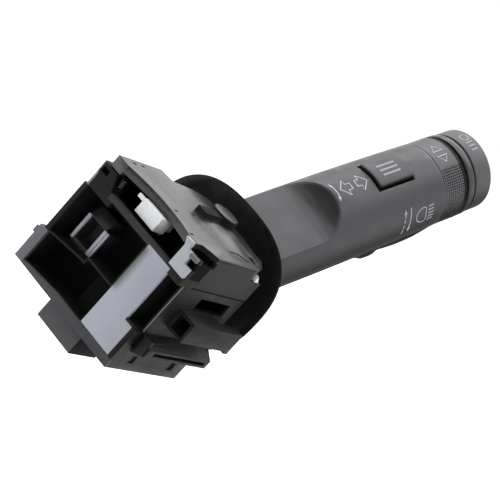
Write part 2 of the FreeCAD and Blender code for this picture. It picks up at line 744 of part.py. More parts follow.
def add_wing(body):
    """Wedge with a slotted edge under the arm."""
    out = S.wing_out
    wall = S.case_right
    wedge = [(wall, -S.wing_top + 3), (out, -S.wing_top), (out, -S.wing_bottom), (wall, -S.wing_bottom - 2)]
    extrude(body, "YZ_Plane", wedge, -S.wing_front, -S.wing_back)
    middle = -(S.wing_top + S.wing_bottom) / 2
    slot = rectangle(-S.wing_front + 2, middle - 0.6, -S.wing_back - 4, middle + 0.6)
    cut_wide(body, "XZ_Plane", slot, out - 1.8, out)
    bevel = [(-S.wing_front, wall + 1.2), (-S.wing_front + 5, wall), (-S.wing_front, wall)]
    cut_wide(body, "XY_Plane", bevel, -S.wing_top, -S.wing_top + 3)
    heel = (-S.wing_back, wall + S.wall)
    extrude(body, "XY_Plane", [heel, S.wall + 0.4], -S.wing_bottom, -S.wing_top + 2.4)
    size = S.side_mark
    for front in (S.partition_depth - 1.6, S.case_depth - S.wing_back):
        low = -S.lower_cavity_bottom - 0.4
        mark = rectangle(-front, low, -front + size, low + size)
        cut_wide(body, "XZ_Plane", mark, wall - S.mark_depth, wall)
    left = -S.case_left - S.side_step
    nub = (-S.side_step_depth / 2, left - S.side_nub, -S.wing_bottom)
    add_block(body, nub, (-S.mark_depth, left, -S.wing_bottom + S.side_mark - 0.6))


def add_slider_rails(body):
    """Two low fences on the floor that guide the turn slider."""
    inner = FLOOR + S.wall
    middle = PIVOT_X + S.drive_radius
    for side in (-1, 1):
        near_face = middle + side * (S.drive_pin + 2.9)
        far_face = middle + side * (S.drive_pin + 3.9)
        low, high = (near_face, far_face) if side > 0 else (far_face, near_face)
        add_block(body, (low, -9, inner), (high, 9, inner + S.board_thickness + S.slider_plate + 1.2))


def add_inner_supports(body):
    """Lower bearing of the turn axis, posts of the beam board and the foot of the pawl pin."""
    floor = FLOOR + S.wall
    half = S.bearing_radius
    add_block(body, (PIVOT_X - half, -half, FLOOR), (FRONT, half, floor))
    centre = (PIVOT_X, 0)
    extrude(body, "XY_Plane", [centre, half], FLOOR + S.wall / 2, -S.yoke_bottom - S.fit_gap)
    bore = S.journal_radius + S.running_gap
    extrude(body, "XY_Plane", [centre, bore], floor, -S.yoke_bottom - S.fit_gap, True)
    inner = -S.case_left + S.wall
    for x, z in board_screw_places():
        extrude(body, "XZ_Plane", [(x, z), S.screw_radius + 0.9], inner - S.wall / 2, inner + S.beam_post)
    foot = S.pawl_pin_radius + 1.8
    add_block(body, (-S.pawl_pin_depth - foot, -foot, SEAM - 4), (CAVITY_BACK, foot, SEAM))


# Top cover
def make_cover():
    body = new_body("top_cover")
    extrude(body, "XY_Plane", lid_outline(), LID_UNDER, S.lid_top, bulges={1: -S.lid_bow})
    add_rim(body)
    right = S.case_right
    left = -S.case_left
    skirt = S.wall
    back = -S.post_depth - S.fit_gap
    add_block(body, (FRONT, right - skirt, SEAM), (back, right, LID_UNDER))
    add_block(body, (FRONT, S.front_opening, SEAM), (FRONT + skirt, right, LID_UNDER))
    shelf = S.shelf_level
    add_block(body, (FRONT, left, shelf - skirt), (back, -S.lid_left + skirt, shelf))
    add_block(body, (FRONT, left, SEAM), (back, left + skirt, shelf - skirt))
    add_block(body, (FRONT, left, SEAM), (FRONT + skirt, -S.front_opening, shelf))
    add_block(body, (FRONT, left, shelf - skirt), (-S.lid_step_depth, -S.front_opening, shelf))
    step = -S.lid_step_depth
    add_block(body, (step - skirt, -S.lid_left, shelf - skirt), (step, -S.lid_inner, LID_UNDER))
    add_block(body, (step, -S.lid_left, shelf - skirt), (back, -S.lid_left + skirt, LID_UNDER))
    add_block(body, (FRONT, -S.lid_inner, shelf - skirt), (step, -S.front_opening, LID_UNDER))
    add_front_corner(body)
    cut_block(body, (-S.pocket_front, right - skirt, S.pocket_edge), (back, right, LID_UNDER))
    add_boss(body)
    cut_cover_details(body)
    keep(body, "top_cover")


def rim_line():
    """Ends of the bowed back rim."""
    return [(-S.lid_back, -S.rim_start), (-S.rim_setback, S.rim_end)]


def lid_outline():
    """The cover plate seen from the driver's side, with the bowed rim second."""
    right = S.case_right
    notch = -S.corner_notch
    return [
        (-S.lid_back, -S.lid_left),
        *rim_line(),
        (-S.rim_setback, S.pad_neck + S.sheet_gap),
        (notch, S.pad_neck + S.sheet_gap),
        (notch - 2.4, S.pad_neck + 2.6),
        (notch - 4.2, right),
        *front_corner(),
        (-S.ear_tip, right - 9.9),
        (-S.lid_front + 0.8, 11),
        (-S.lid_front, 8),
        (-S.lid_front, -11),
        (-S.case_depth + 3.8, -S.lid_inner),
        (-S.lid_step_depth - 1.1, -S.lid_inner - 1.0),
        (-S.lid_step_depth, -S.lid_left),
    ]


def front_corner():
    """The cut-back corner of the cover towards the disc."""
    right = S.case_right
    return [
        (-S.case_depth + 8.2, right),
        (-S.case_depth + 3.2, right - 1.6),
        (-S.ear_tip, right - 5.8),
    ]


def add_rim(body):
    """Deeper edge along the bow, and the light block under the left corner."""
    start, end = rim_line()
    inner = [(end[0] - S.wall, end[1]), (start[0] - S.wall, start[1])]
    low = S.lid_top - S.rim_height
    extrude(body, "XY_Plane", [start, end, *inner], low, LID_UNDER, bulges={0: -S.lid_bow, 2: S.lid_bow})
    add_block(body, (-S.post_depth, -S.lid_left, S.corner_block_low), (-S.lid_back, -S.rim_start, LID_UNDER))


def add_front_corner(body):
    """Skirt behind the cut-back corner; the ledge below it runs on to the front."""
    right = S.case_right
    wall = S.wall
    ledge = S.ledge_level
    add_block(body, (FRONT, right - 5.8 - wall, ledge - wall), (-S.case_depth + 8.2, right, LID_UNDER))
    corner = [*front_corner(), (-S.ear_tip, right)]
    cut_wide(body, "XY_Plane", corner, ledge, LID_UNDER)


def add_boss(body):
    """Closed bearing cup for the turn journal, and the rib that stiffens the plate behind it."""
    extrude(body, "XY_Plane", [(PIVOT_X, 0), S.boss_radius], S.lid_top, S.lid_top + S.boss_height)
    rib = rectangle(PIVOT_X, -1.6, PIVOT_X + S.rib_length, 2.4)
    extrude(body, "XY_Plane", rib, S.lid_top, S.lid_top + S.rib_height)
    bore = S.journal_radius + S.running_gap
    top = S.yoke_top + S.journal_length + S.fit_gap
    extrude(body, "XY_Plane", [(PIVOT_X, 0), bore], LID_UNDER - 1, top, True)
    level = S.lid_top + S.boss_height
    round_edges(body, S.edge_round, lambda e: near(e.BoundBox.ZMin, level) and near(e.BoundBox.ZMax, level))


def cut_cover_details(body):
    """Ear slot, shallow panel and the small slots of the cover plate."""
    right = S.case_right
    top = S.lid_top
    ear = rectangle(-S.ear_tip + 6.3, right - 6.4, -S.ear_tip + 8.6, right - 3.0)
    cut_wide(body, "XY_Plane", ear, LID_UNDER, top)
    panel = [
        (-S.case_depth + 20, right - 6.6),
        (-S.case_depth + 13, right - 6.6),
        (-S.case_depth + 8.4, right - 3.2),
        (-S.case_depth + 14.6, right - 3.6),
    ]
    cut_wide(body, "XY_Plane", panel, top - S.mark_depth / 2, top)
    small = S.wall
    slots = (
        (-S.partition_depth - 4, small),
        (-S.pawl_pin_depth / 2, S.yoke_cheek),
        (-S.coil_depth, S.rim_start - 1.4),
    )
    for x, y in slots:
        cut_block(body, (x - small, y, top - S.mark_depth), (x, y + small / 2, top))
    for x in (S.post_depth - 3, S.post_depth + 2):
        low = (-x - small, -S.lid_left + small, top - S.mark_depth)
        cut_block(body, low, (-x, -S.lid_left + small * 1.5, top))


# Small pieces of the back face
def make_seat_plate():
    body = new_body("seat_plate")
    extrude(body, "YZ_Plane", plate_outline(S.sheet_gap), -S.plate_thickness, 0)
    keep(body, "seat_plate")


def make_post_pad():
    """Pale pad on the right post, with its neck beside the cover's rim."""
    right = S.case_right - S.sheet_gap * 4
    shape = [
        (S.pad_left, 0),
        (right, 0),
        (right, S.post_hole_low),
        (S.post_hole_left, S.post_hole_low),
        (S.post_hole_left, S.post_hole_high),
        (right, S.post_hole_high),
        (right, S.pad_top),
        (S.pad_neck, S.pad_top),
        (S.pad_neck, S.pad_neck_top),
        (S.rim_end, S.pad_neck_top),
        (S.pad_left, S.pad_top),
    ]
    body = new_body("post_pad")
    extrude(body, "YZ_Plane", shape, -S.plate_thickness, 0)
    keep(body, "post_pad")


def shelf_rise(y):
    """Upper side of the sloping shelf."""
    slope = (S.shelf_left - S.shelf_mid) / (S.cavity_left + STEP_Y - 1.6)
    return -S.shelf_left + (S.cavity_left + y) * slope


def make_rear_socket():
    """Slotted block that stands on the shelf of the upper cavity."""
    body = new_body("rear_socket")
    back = CAVITY_BACK
    face = -S.socket_face - S.bar_depth
    left = -S.socket_left
    right = -S.socket_right
    top = -S.socket_top
    foot = [(left, shelf_rise(left)), (right, shelf_rise(right)), (right, top), (left, top)]
    extrude(body, "YZ_Plane", foot, back, face)
    wall = S.socket_wall
    slot = (right - S.socket_bar, top - S.edge_round)
    ridge = top + S.socket_roof
    roof = [(back, top), (face, top), (-S.socket_ridge, ridge), (back, ridge)]
    extrude(body, "XZ_Plane", roof, left, slot[0])
    cut_block(body, (back + wall, left + wall, -S.socket_bottom + wall), (face, slot[0], slot[1]))
    keep(body, "rear_socket")


def make_socket_bars():
    """The two pale bars on the face of the rear socket."""
    face = -S.socket_face
    left = -S.socket_left
    right = -S.socket_right
    top = -S.socket_top
    wall = S.socket_wall
    low = -S.socket_bottom + S.edge_round
    start = face - S.bar_depth
    groove = right - S.socket_bar / 3
    pieces = [
        block("bar_left", (start, left, low), (face, left + wall, top)),
        block("bar_right", (start, right - S.socket_bar, low), (face, right, top)),
    ]
    line = block("bar_groove", (start + S.bar_depth / 2, groove - 0.2, low), (face, groove, top))
    keep(cut("socket_bars", fuse("bar_pair", pieces), line), "socket_bars")


def blade_rows():
    middle = -(S.connector_front + S.connector_back) / 2
    return [middle - S.blade_row / 2, middle + S.blade_row / 2]


def blade_places():
    middle = (S.connector_right - S.connector_left) / 2
    half = (S.blades_in_row.value - 1) / 2
    return [middle + S.blade_pitch * (n - half) for n in range(int(S.blades_in_row.value))]


def make_connector():
    """Open-ended shroud under the case; its base holds the blades."""
    body = new_body("connector_shroud")
    wall = S.connector_wall
    low = FLOOR - S.connector_length
    front = -S.connector_front
    back = -S.connector_back
    left = -S.connector_left
    right = S.connector_right
    add_block(body, (front, left, low), (back, right, FLOOR))
    cut_block(body, (front + wall, left + wall, low), (back - wall, right - wall, FLOOR - wall))
    rows = blade_rows()
    half = S.blade / 2
    for row in rows:
        low_edge = (row - S.blade - half, left + wall, FLOOR - wall / 2)
        cut_block(body, low_edge, (row + S.blade + half, right - wall, FLOOR))
        for place in blade_places():
            cut_block(body, (row - half, place - half, FLOOR - wall), (row + half, place + half, FLOOR))
    key = rectangle(front - 1.1, left + 5.5, front, left + 8.5)
    extrude(body, "XY_Plane", key, low + 1.5, FLOOR)
    keep(body, "connector_shroud")


def make_blades(row, name):
    """One row of terminal blades on its carrier bar."""
    body = new_body(name)
    wall = S.connector_wall
    half = S.blade / 2
    bar_low = (row - S.blade - half, -S.connector_left + wall, FLOOR - wall / 2)
    bar_high = (row + S.blade + half, S.connector_right - wall, FLOOR)
    add_block(body, bar_low, bar_high)
    for place in blade_places():
        tip = FLOOR - S.connector_length + 1.6
        add_block(body, (row - half, place - half, tip), (row + half, place + half, FLOOR - wall / 2))
    keep(body, name)


# Turn carrier
def make_yoke():
    body = new_body("turn_yoke")
    front = PIVOT_X - S.yoke_front
    back = PIVOT_X + S.yoke_back
    side = S.yoke_half_width
    low = -S.yoke_bottom
    inner = side - S.yoke_cheek
    add_block(body, (front, -side, low), (back, side, S.yoke_top))
    cut_block(body, (front, -inner, low + S.yoke_web), (back, inner, S.yoke_top - S.yoke_web))
    centre = (PIVOT_X, 0)
    extrude(body, "XY_Plane", [centre, S.journal_radius], S.yoke_top, S.yoke_top + S.journal_length)
    foot = FLOOR + S.wall + 0.4
    extrude(body, "XY_Plane", [centre, S.journal_radius], foot, low)
    cut_wide(body, "XZ_Plane", [(PIVOT_X, PIVOT_Z), S.beam_pin_radius], -side, side)
    add_drive_finger(body, low)
    add_slider_plate(body)
    keep(body, "turn_yoke")


def add_drive_finger(body, low):
    """Finger and pin that push the turn slider."""
    tip = PIVOT_X + S.drive_radius + S.drive_pin + 1.1
    add_block(body, (PIVOT_X + S.yoke_back, -2.2, low), (tip, 2.2, low + 2.5))
    pin = [(PIVOT_X + S.drive_radius, 0), S.drive_pin]
    extrude(body, "XY_Plane", pin, slider_level() + 1.2, low)


def slider_level():
    """Underside of the turn slider."""
    return FLOOR + S.wall + S.board_thickness + 0.5


def add_slider_plate(body):
    """Plate behind the cheek with two lipped fences for the beam slider."""
    back = PIVOT_X + S.yoke_back
    face = -S.yoke_half_width
    middle = PIVOT_X + S.beam_drive
    half = S.beam_slider_half + S.fit_gap
    end = middle + half + 1
    low = PIVOT_Z - 7
    high = PIVOT_Z + 7
    add_block(body, (back, face, low), (end, face + 1.8, high))
    run = S.beam_drive_pin + 1.6
    cut_block(body, (middle - 2.0, face, PIVOT_Z - run), (middle + 2.0, face + 1.8, PIVOT_Z + run))
    outer = face - S.fit_gap - S.slider_plate
    for low_x, high_x in ((middle - half - 1, middle - half), (middle + half, end)):
        add_block(body, (low_x, outer - 0.8, PIVOT_Z - 6), (high_x, face, PIVOT_Z + 6))
    lip = outer - S.fit_gap / 2
    add_block(body, (middle - half, outer - 0.8, PIVOT_Z - 6), (middle - half + 0.7, lip, PIVOT_Z + 6))
    add_block(body, (middle + half - 0.7, outer - 0.8, PIVOT_Z - 6), (middle + half, lip, PIVOT_Z + 6))


def make_beam_pin():
    base = (PIVOT_X, -S.yoke_half_width, PIVOT_Z)
    keep(cylinder("beam_pin", S.beam_pin_radius, S.yoke_half_width * 2, base, (0, 1, 0)), "beam_pin")


# Sliders and boards
def make_turn_slider():
    body = new_body("turn_slider")
    middle = PIVOT_X + S.drive_radius
    half = S.turn_slider_half
    low = slider_level()
    reach = S.turn_slider_reach
    add_block(body, (middle - half, -reach, low), (middle + half, reach, low + S.turn_slider_height))
    slot_length = S.drive_pin + 0.35
    slot_width = S.drive_pin + 0.05
    slot = rectangle(middle - slot_length, -slot_width, middle + slot_length, slot_width)
    cut_wide(body, "XY_Plane", slot, low, low + S.turn_slider_height)
    keep(body, "turn_slider")


def make_contact_board():
    middle = PIVOT_X + S.drive_radius
    low = FLOOR + S.wall
    half = S.turn_slider_half
    reach = S.contact_board_reach
    high = low + S.board_thickness
    keep(block("contact_board", (middle - half, -reach, low), (middle + half, reach, high)), "contact_board")


def make_turn_wiper():
    """Bridging contact under the turn slider."""
    body = new_body("turn_wiper")
    middle = PIVOT_X + S.drive_radius
    high = slider_level()
    low = high - S.wiper_thickness
    reach = S.wiper_reach
    outer = S.wiper_half
    inner = outer - S.wiper_strip
    add_block(body, (middle - outer, -reach, low), (middle - inner, reach, high))
    add_block(body, (middle + inner, -reach, low), (middle + outer, reach, high))
    add_block(body, (middle - inner, -reach, low), (middle + inner, S.wiper_strip - reach, high))
    keep(body, "turn_wiper")


def make_beam_slider():
    body = new_body("beam_slider")
    face = -S.yoke_half_width - S.fit_gap / 2
    middle = PIVOT_X + S.beam_drive
    half = S.beam_slider_half
    outer = face - S.slider_plate
    add_block(body, (middle - half, outer, PIVOT_Z - 2.6), (middle + half, face, PIVOT_Z + 2.6))
    pin = S.beam_drive_pin
    slot = rectangle(middle - pin - 0.25, PIVOT_Z - pin - 0.05, middle + pin + 0.25, PIVOT_Z + pin + 0.05)
    cut_wide(body, "XZ_Plane", slot, outer, face)
    keep(body, "beam_slider")


def make_beam_wiper():
    """Spring contact on the outer face of the beam slider."""
    body = new_body("beam_wiper")
    outer = -S.yoke_half_width - S.fit_gap / 2 - S.slider_plate
    middle = PIVOT_X + S.beam_drive
    add_block(body, (middle - 1.8, outer - 0.2, PIVOT_Z - 2.4), (middle - 1.1, outer, PIVOT_Z + 2.4))
    add_block(body, (middle + 1.1, outer - 0.2, PIVOT_Z - 2.4), (middle + 1.8, outer, PIVOT_Z + 2.4))
    add_block(body, (middle - 1.1, outer - 0.2, PIVOT_Z + 1.7), (middle + 1.1, outer, PIVOT_Z + 2.4))
    keep(body, "beam_wiper")


def beam_board_level():
    return -S.case_left + S.wall + S.beam_post


def make_beam_board():
    body = new_body("beam_board")
    low = beam_board_level()
    high = low + S.board_thickness
    middle = PIVOT_X + S.beam_drive
    half = S.beam_board_half
    rise = S.beam_board_rise
    add_block(body, (middle - half, low, PIVOT_Z - rise), (middle + half, high, PIVOT_Z + rise))
    for x, z in board_screw_places():
        cut_wide(body, "XZ_Plane", [(x, z), S.screw_radius / 2], low, high)
    keep(body, "beam_board")


def board_screw_places():
    middle = PIVOT_X + S.beam_drive
    across = S.beam_board_half - S.board_screw_inset
    rise = S.beam_board_rise - S.board_screw_inset
    return [(middle - across, PIVOT_Z - rise), (middle + across, PIVOT_Z + rise)]


def make_board_screws():
    """The two screws that hold the beam board to its posts."""
    level = beam_board_level() + S.board_thickness
    pieces = []
    for x, z in board_screw_places():
        pieces.append(cylinder("screw_head", S.screw_radius, 0.9, (x, level, z), (0, 1, 0)))
        shank = (x, level - S.board_thickness, z)
        pieces.append(cylinder("screw_shank", S.screw_radius / 2, S.board_thickness, shank, (0, 1, 0)))
    keep(fuse("board_screws", pieces), "board_screws")


def make_detent_track():
    """Block with a spherical hollow that the plunger runs in."""
    front = CHAMBER_BACK - S.track_depth
    low = (front, -S.track_half_width, PIVOT_Z - S.track_half_height)
    high = (CHAMBER_BACK, S.track_half_width, PIVOT_Z + S.track_half_height)
    blank = block("track_blank", low, high)
    ball = doc.addObject("Part::Sphere", "track_ball")
    bind(ball, "Radius", S.plunger_reach + S.fit_gap + 0.05)
    ball.Placement.Base = vector((PIVOT_X, 0, PIVOT_Z))
    keep(cut("detent_track", blank, ball), "detent_track")


# Cancelling pawl
def make_pawl():
    body = new_body("cancel_pawl")
    pin_x = -S.pawl_pin_depth
    low = S.pawl_bottom
    high = S.pawl_top
    half = S.pawl_half_width
    nose = -S.pawl_nose
    extrude(body, "XY_Plane", [(pin_x, 0), S.pawl_pin_radius + 1.8], low, high)
    add_block(body, (pin_x, -2, low), (nose - 3, 2, high))
    head = [(nose - 5.4, -half), (nose, -half + 0.6), (nose, half - 0.6), (nose - 5.4, half)]
    extrude(body, "XY_Plane", head, low, high)
    add_block(body, (nose - 1.6, -half - 2.2, high - 1.5), (nose - 0.4, -half + 1.0, high - 0.2))
    bore = S.pawl_pin_radius + S.running_gap
    cut_wide(body, "XY_Plane", [(pin_x, 0), bore], low, high)
    keep(body, "cancel_pawl")


def make_pawl_pin():
    base = (-S.pawl_pin_depth, 0, SEAM)
    keep(cylinder("pawl_pin", S.pawl_pin_radius, LID_UNDER - SEAM, base, (0, 0, 1)), "pawl_pin")


def make_pawl_spring():
    """Open coil on its stand beside the left post."""
    helix = doc.addObject("Part::Helix", "pawl_spring_path")
    radius = S.coil_radius
    helix.Pitch = S.coil_pitch.value
    helix.Height = S.coil_height.value
    helix.Radius = radius.value
    bind(helix, "Pitch", S.coil_pitch)
    bind(helix, "Height", S.coil_height)
    bind(helix, "Radius", radius)
    doc.recompute()
    start = helix.Shape.Vertexes[0].Point
    wire = Part.Wire(Part.makeCircle(S.coil_wire.value, start, FreeCAD.Vector(0, 1, 0)))
    coil = Part.Wire(helix.Shape.Edges).makePipeShell([wire], True, True)
    item = doc.addObject("Part::Feature", "pawl_spring")
    item.Shape = coil
    foot = S.coil_stand + S.coil_wire + 0.02
    item.Placement.Base = vector((-S.coil_depth, -S.coil_side, foot))
    keep(item, "pawl_spring")


# Lever arm, all in the lever's own frame
def make_lever_arm():
    steel = []
    hub_width = S.yoke_half_width - S.yoke_cheek - S.fit_gap
    steel.append(cylinder("arm_hub", S.hub_radius, hub_width * 2, (PIVOT_X, -hub_width, PIVOT_Z), (0, 1, 0)))
    length = S.shank_end - PIVOT_S
    steel.append(cylinder("arm_shank", S.shank_radius, length, (0, 0, PIVOT_S), (0, 0, 1), True))
    tail = S.tail_end
    steel.append(cylinder("arm_tail", S.tail_radius, tail, (PIVOT_X, 0, PIVOT_Z), (1, 0, 0)))
    drive = (PIVOT_X + S.beam_drive, 0, PIVOT_Z)
    reach = S.yoke_half_width + S.slider_plate - 0.4
    steel.append(cylinder("arm_drive", S.beam_drive_pin, reach, drive, (0, -1, 0)))
    flange = S.handle_radius - S.flange_inset
    for start in (S.flange_inner, S.shank_end - S.flange_thickness):
        low = (-S.flange_low, -flange, start)
        high = (S.flange_high, flange, start + S.flange_thickness)
        steel.append(block("arm_flange", low, high, True))
    bore = S.beam_pin_radius + S.running_gap
    holes = [cylinder("hub_bore", bore, hub_width * 2, (PIVOT_X, -hub_width, PIVOT_Z), (0, 1, 0))]
    passage = S.shank_end - 2
    holes.append(cylinder("arm_passage", S.shank_bore, passage, (0, 0, 2), (0, 0, 1), True))
    plunger = S.plunger_radius + S.running_gap
    depth = S.plunger_bore_depth
    holes.append(cylinder("tail_bore", plunger, depth, (PIVOT_X + tail - depth, 0, PIVOT_Z), (1, 0, 0)))
    for place in handle_screw_places():
        base = (-S.flange_low, 0, place)
        holes.append(cylinder("flange_hole", S.screw_radius / 2, 2, base, (1, 0, 0), True))
    keep(cut("lever_arm", fuse("arm_solid", steel), fuse("arm_holes", holes)), "lever_arm")


def handle_screw_places():
    return [S.flange_inner + S.flange_thickness / 2, S.shank_end - S.flange_thickness / 2]


def make_plunger():
    """Sprung plunger with a round nose."""
    reach = S.plunger_reach - S.plunger_radius
    start = S.tail_end - S.plunger_bore_depth + S.plunger_spring_room
    base = (PIVOT_X + start, 0, PIVOT_Z)
    shank = cylinder("plunger_shank", S.plunger_radius, reach - start, base, (1, 0, 0))
    nose = doc.addObject("Part::Sphere", "plunger_nose")
    bind(nose, "Radius", S.plunger_radius)
    nose.Placement = axis_placement((PIVOT_X + reach, 0, PIVOT_Z), (1, 0, 0))
    keep(fuse("detent_plunger", [shank, nose]), "detent_plunger")


def make_plunger_spring():
    base = (PIVOT_X + S.tail_end - S.plunger_bore_depth, 0, PIVOT_Z)
    length = S.plunger_spring_room
    outer = cylinder("spring_outer", S.plunger_radius - 0.3, length, base, (1, 0, 0))
    inner = cylinder("spring_inner", S.plunger_radius - 0.9, length, base, (1, 0, 0))
    keep(cut("plunger_spring", outer, inner), "plunger_spring")


# Shield disc
def superellipse(width, height, rise, x):
    """Closed outline with rounded corners in a plane across X."""
    points = []
    power = 2 / S.disc_roundness.value
    for step in range(48):
        angle = 2 * math.pi * step / 48
        c = math.cos(angle)
        s = math.sin(angle)
        y = width * math.copysign(abs(c) ** power, c)
        z = rise + height * math.copysign(abs(s) ** power, s)
        points.append(FreeCAD.Vector(x, y, z))
    curve = Part.BSplineCurve()
    curve.interpolate(points, PeriodicFlag=True)
    return Part.Wire(curve.toShape())


def dish(offset):
    """Solid dish from its rim inwards to its flat middle."""
    width = S.disc_half_width.value
    height = S.disc_half_height.value
    slope = S.disc_slope.value
    rise = S.disc_rise.value
    inner = superellipse(width - slope * 1.1, height - slope * 0.45, rise, -S.disc_dish.value + offset)
    rim = superellipse(width, height, rise, offset)
    return Part.makeLoft([rim, inner], True, True)


def make_disc():
    """Thin dished flange; its outline is a superellipse, which no sketch curve gives."""
    thickness = S.disc_thickness.value
    item = doc.addObject("Part::Feature", "disc_plate")
    item.Shape = dish(0).cut(dish(thickness))
    item.Placement.Base = vector((DISC_X, -S.disc_shift, DISC_Z))
    radius = S.shank_radius
    hole = cylinder("disc_hole", radius, radius * 4, (0, 0, -radius * 2), (0, 0, 1), True)
    keep(cut("shield_disc", item, hole), "shield_disc")


# Handle, with the thumb scoop
def handle_blank(name, inset):
    """Barrel of the handle less the scoop, offset inwards by the inset."""
    body = new_body(name)
    radius = ROOT_RADIUS - inset
    end = END_RADIUS - inset
    bow = S.handle_bow - inset
    start = -S.handle_overlap
    points = [(0, start), (radius, start), (end, S.handle_end), (0, S.handle_end)]
    revolve(body, points, {1: bow})
    floor = S.scoop_floor - inset
    curve = S.scoop_runout + inset
    far = S.handle_radius + 3
    rise = root(curve * curve - (floor + curve - far) * (floor + curve - far))
    scoop = [(floor, start - 1), (far, start - 1), (far, S.scoop_start + rise), (floor, S.scoop_start)]
    cut_wide(body, "XZ_Plane", scoop, -S.handle_radius - 3, S.handle_radius + 3, {2: curve}, S.scoop_turn)
    return body


def make_handle():
    """Hollow barrel in two pieces: the shell with the scoop and the cover below it."""
    outer = handle_blank("handle_outer", as_size(0))
    inner = handle_blank("handle_inner", S.handle_wall)
    hollow = cut("handle_hollow", outer, inner)
    hollow.Placement = lever_placement()
    reach = S.handle_radius * 2
    face = DISC_X - S.disc_dish
    beyond = block("handle_trim", (face, -reach, DISC_Z - reach), (DISC_X + reach, reach, DISC_Z + reach))
    barrel = cut("handle_barrel", hollow, beyond)
    split = cover_block("cover_split", as_size(0))
    holes = [split, button_hole()]
    keep(cut("handle_shell", barrel, fuse("handle_openings", holes)), "handle_shell")
    sector = common("cover_sector", [barrel, cover_block("cover_piece", S.sheet_gap)])
    bosses = [sector]
    drills = []
    for place in handle_screw_places():
        base = (-S.flange_low, 0, place)
        length = S.handle_radius - S.handle_wall - S.flange_low + 0.6
        bosses.append(cylinder("cover_boss", S.screw_radius + 1, length, base, (-1, 0, 0), True))
        drills.append(cylinder("cover_drill", S.screw_radius, S.handle_radius, base, (-1, 0, 0), True))
    solid = fuse("cover_solid", bosses)
    keep(cut("handle_cover", solid, fuse("cover_drills", drills)), "handle_cover")


def cover_block(name, gap):
    reach = S.handle_radius + 2
    low = (-reach, -reach, S.cover_start + gap)
    return block(name, low, (-S.cover_chord - gap, reach, S.cover_end - gap), True)


def button_hole():
    half = S.button_half_width + S.button_gap
    low = (CORE_RADIUS / 2, -half, S.button_start - S.button_gap)
    high = (S.handle_radius + 2, half, S.button_end + S.button_gap)
    return block("button_hole", low, high, True)


def make_handle_screws():
    """The two screws that hold the cover to the arm's flanges."""
    pieces = []
    for place in handle_screw_places():
        head = (-S.flange_low, 0, place)
        length = S.screw_length
        pieces.append(cylinder("screw_body", S.screw_radius - 0.05, length, head, (-1, 0, 0), True))
        pieces.append(cylinder("screw_thread", S.screw_radius / 2, 2, head, (1, 0, 0), True))
    keep(fuse("handle_screws", pieces), "handle_screws")


# Controls on the lever
def make_menu_button():
    """Button with a crowned top that follows the barrel, and a lip under the shell."""
    body = new_body("menu_button")
    half = S.button_half_width
    top = S.handle_radius + S.button_proud
    edge = root(top * top - half * half)
    base = S.button_base
    section = [(base, -half), (edge, -half), (edge, half), (base, half)]
    extrude(body, "XY_Plane", section, S.button_start, S.button_end, bulges={1: top})
    round_edges(body, S.button_round, lambda e: along(e, AXIS_X))
    lip = half + S.button_gap + 0.8
    low = (base, -lip, S.button_start - S.button_gap - 0.8)
    high = (base + S.button_lip, lip, S.button_end + S.button_gap + 0.8)
    add_block(body, low, high)
    round_edges(body, S.edge_round, lambda e: e.BoundBox.XMin > edge.value - 0.01)
    keep_lever(body, "menu_button")


def make_lever_board():
    half = S.lever_board_half
    low = (S.board_level, -half, S.shank_end + S.flange_thickness)
    high = (S.board_level + S.board_thickness, half, S.cover_end + 1)
    keep(block("lever_board", low, high, True), "lever_board")


def make_button_dome():
    base = (S.board_level + S.board_thickness, 0, (S.button_start + S.button_end) / 2)
    height = S.button_base - S.button_travel - 0.1 - S.board_level - S.board_thickness
    keep(cylinder("button_dome", as_size(3), height, base, (1, 0, 0), True), "button_dome")


def make_dial_core():
    """Stepped core that carries the board, the scroll ring, the collar and the end cap."""
    body = new_body("dial_core")
    radius = CORE_RADIUS
    neck = END_RADIUS - S.handle_wall
    step = S.handle_end + S.fit_gap
    spigot = SPIGOT_RADIUS
    bore = spigot - S.core_wall
    profile = [
        (0, S.cover_end + 1),
        (neck, S.cover_end + 1),
        (neck, step),
        (radius, step),
        (radius, RING_END + S.bead_gap),
        (radius + S.bead, RING_END + S.bead_gap),
        (radius + S.bead, COLLAR_START - S.bead_gap),
        (radius, COLLAR_START - S.bead_gap),
        (radius, SHOULDER),
        (spigot, SHOULDER),
        (spigot, SPIGOT_END),
        (bore, SPIGOT_END),
        (bore, CORE_FLOOR),
        (0, CORE_FLOOR),
    ]
    revolve(body, profile)
    under = S.board_level
    start = S.shank_end + 3
    for low, high in ((-9.5, -6.5), (6.5, 9.5)):
        add_block(body, (under - 3, low, start), (under, high, S.cover_end + 2))
    keep_lever(body, "dial_core")


def make_scroll_ring():
    body = new_body("scroll_ring")
    inner = CORE_RADIUS + S.running_gap
    start = RING_START
    chamfer = S.edge_round
    outer = RING_RADIUS
    points = [
        (inner, start),
        (outer - chamfer, start),
        (outer, start + chamfer),
        (outer, RING_END - chamfer),
        (outer - chamfer, RING_END),
        (inner, RING_END),
    ]
    revolve(body, points)
    keep_lever(body, "scroll_ring")


def make_collar():
    body = new_body("collar_ring")
    outer = COLLAR_RADIUS
    inner = CAP_RADIUS + S.fit_gap
    foot = SHOULDER
    points = [
        (CORE_RADIUS, COLLAR_START),
        (outer, COLLAR_START),
        (outer, COLLAR_END - 0.3),
        (outer - 0.3, COLLAR_END),
        (inner, COLLAR_END),
        (inner, foot),
        (CORE_RADIUS, foot),
    ]
    revolve(body, points)
    keep_lever(body, "collar_ring")


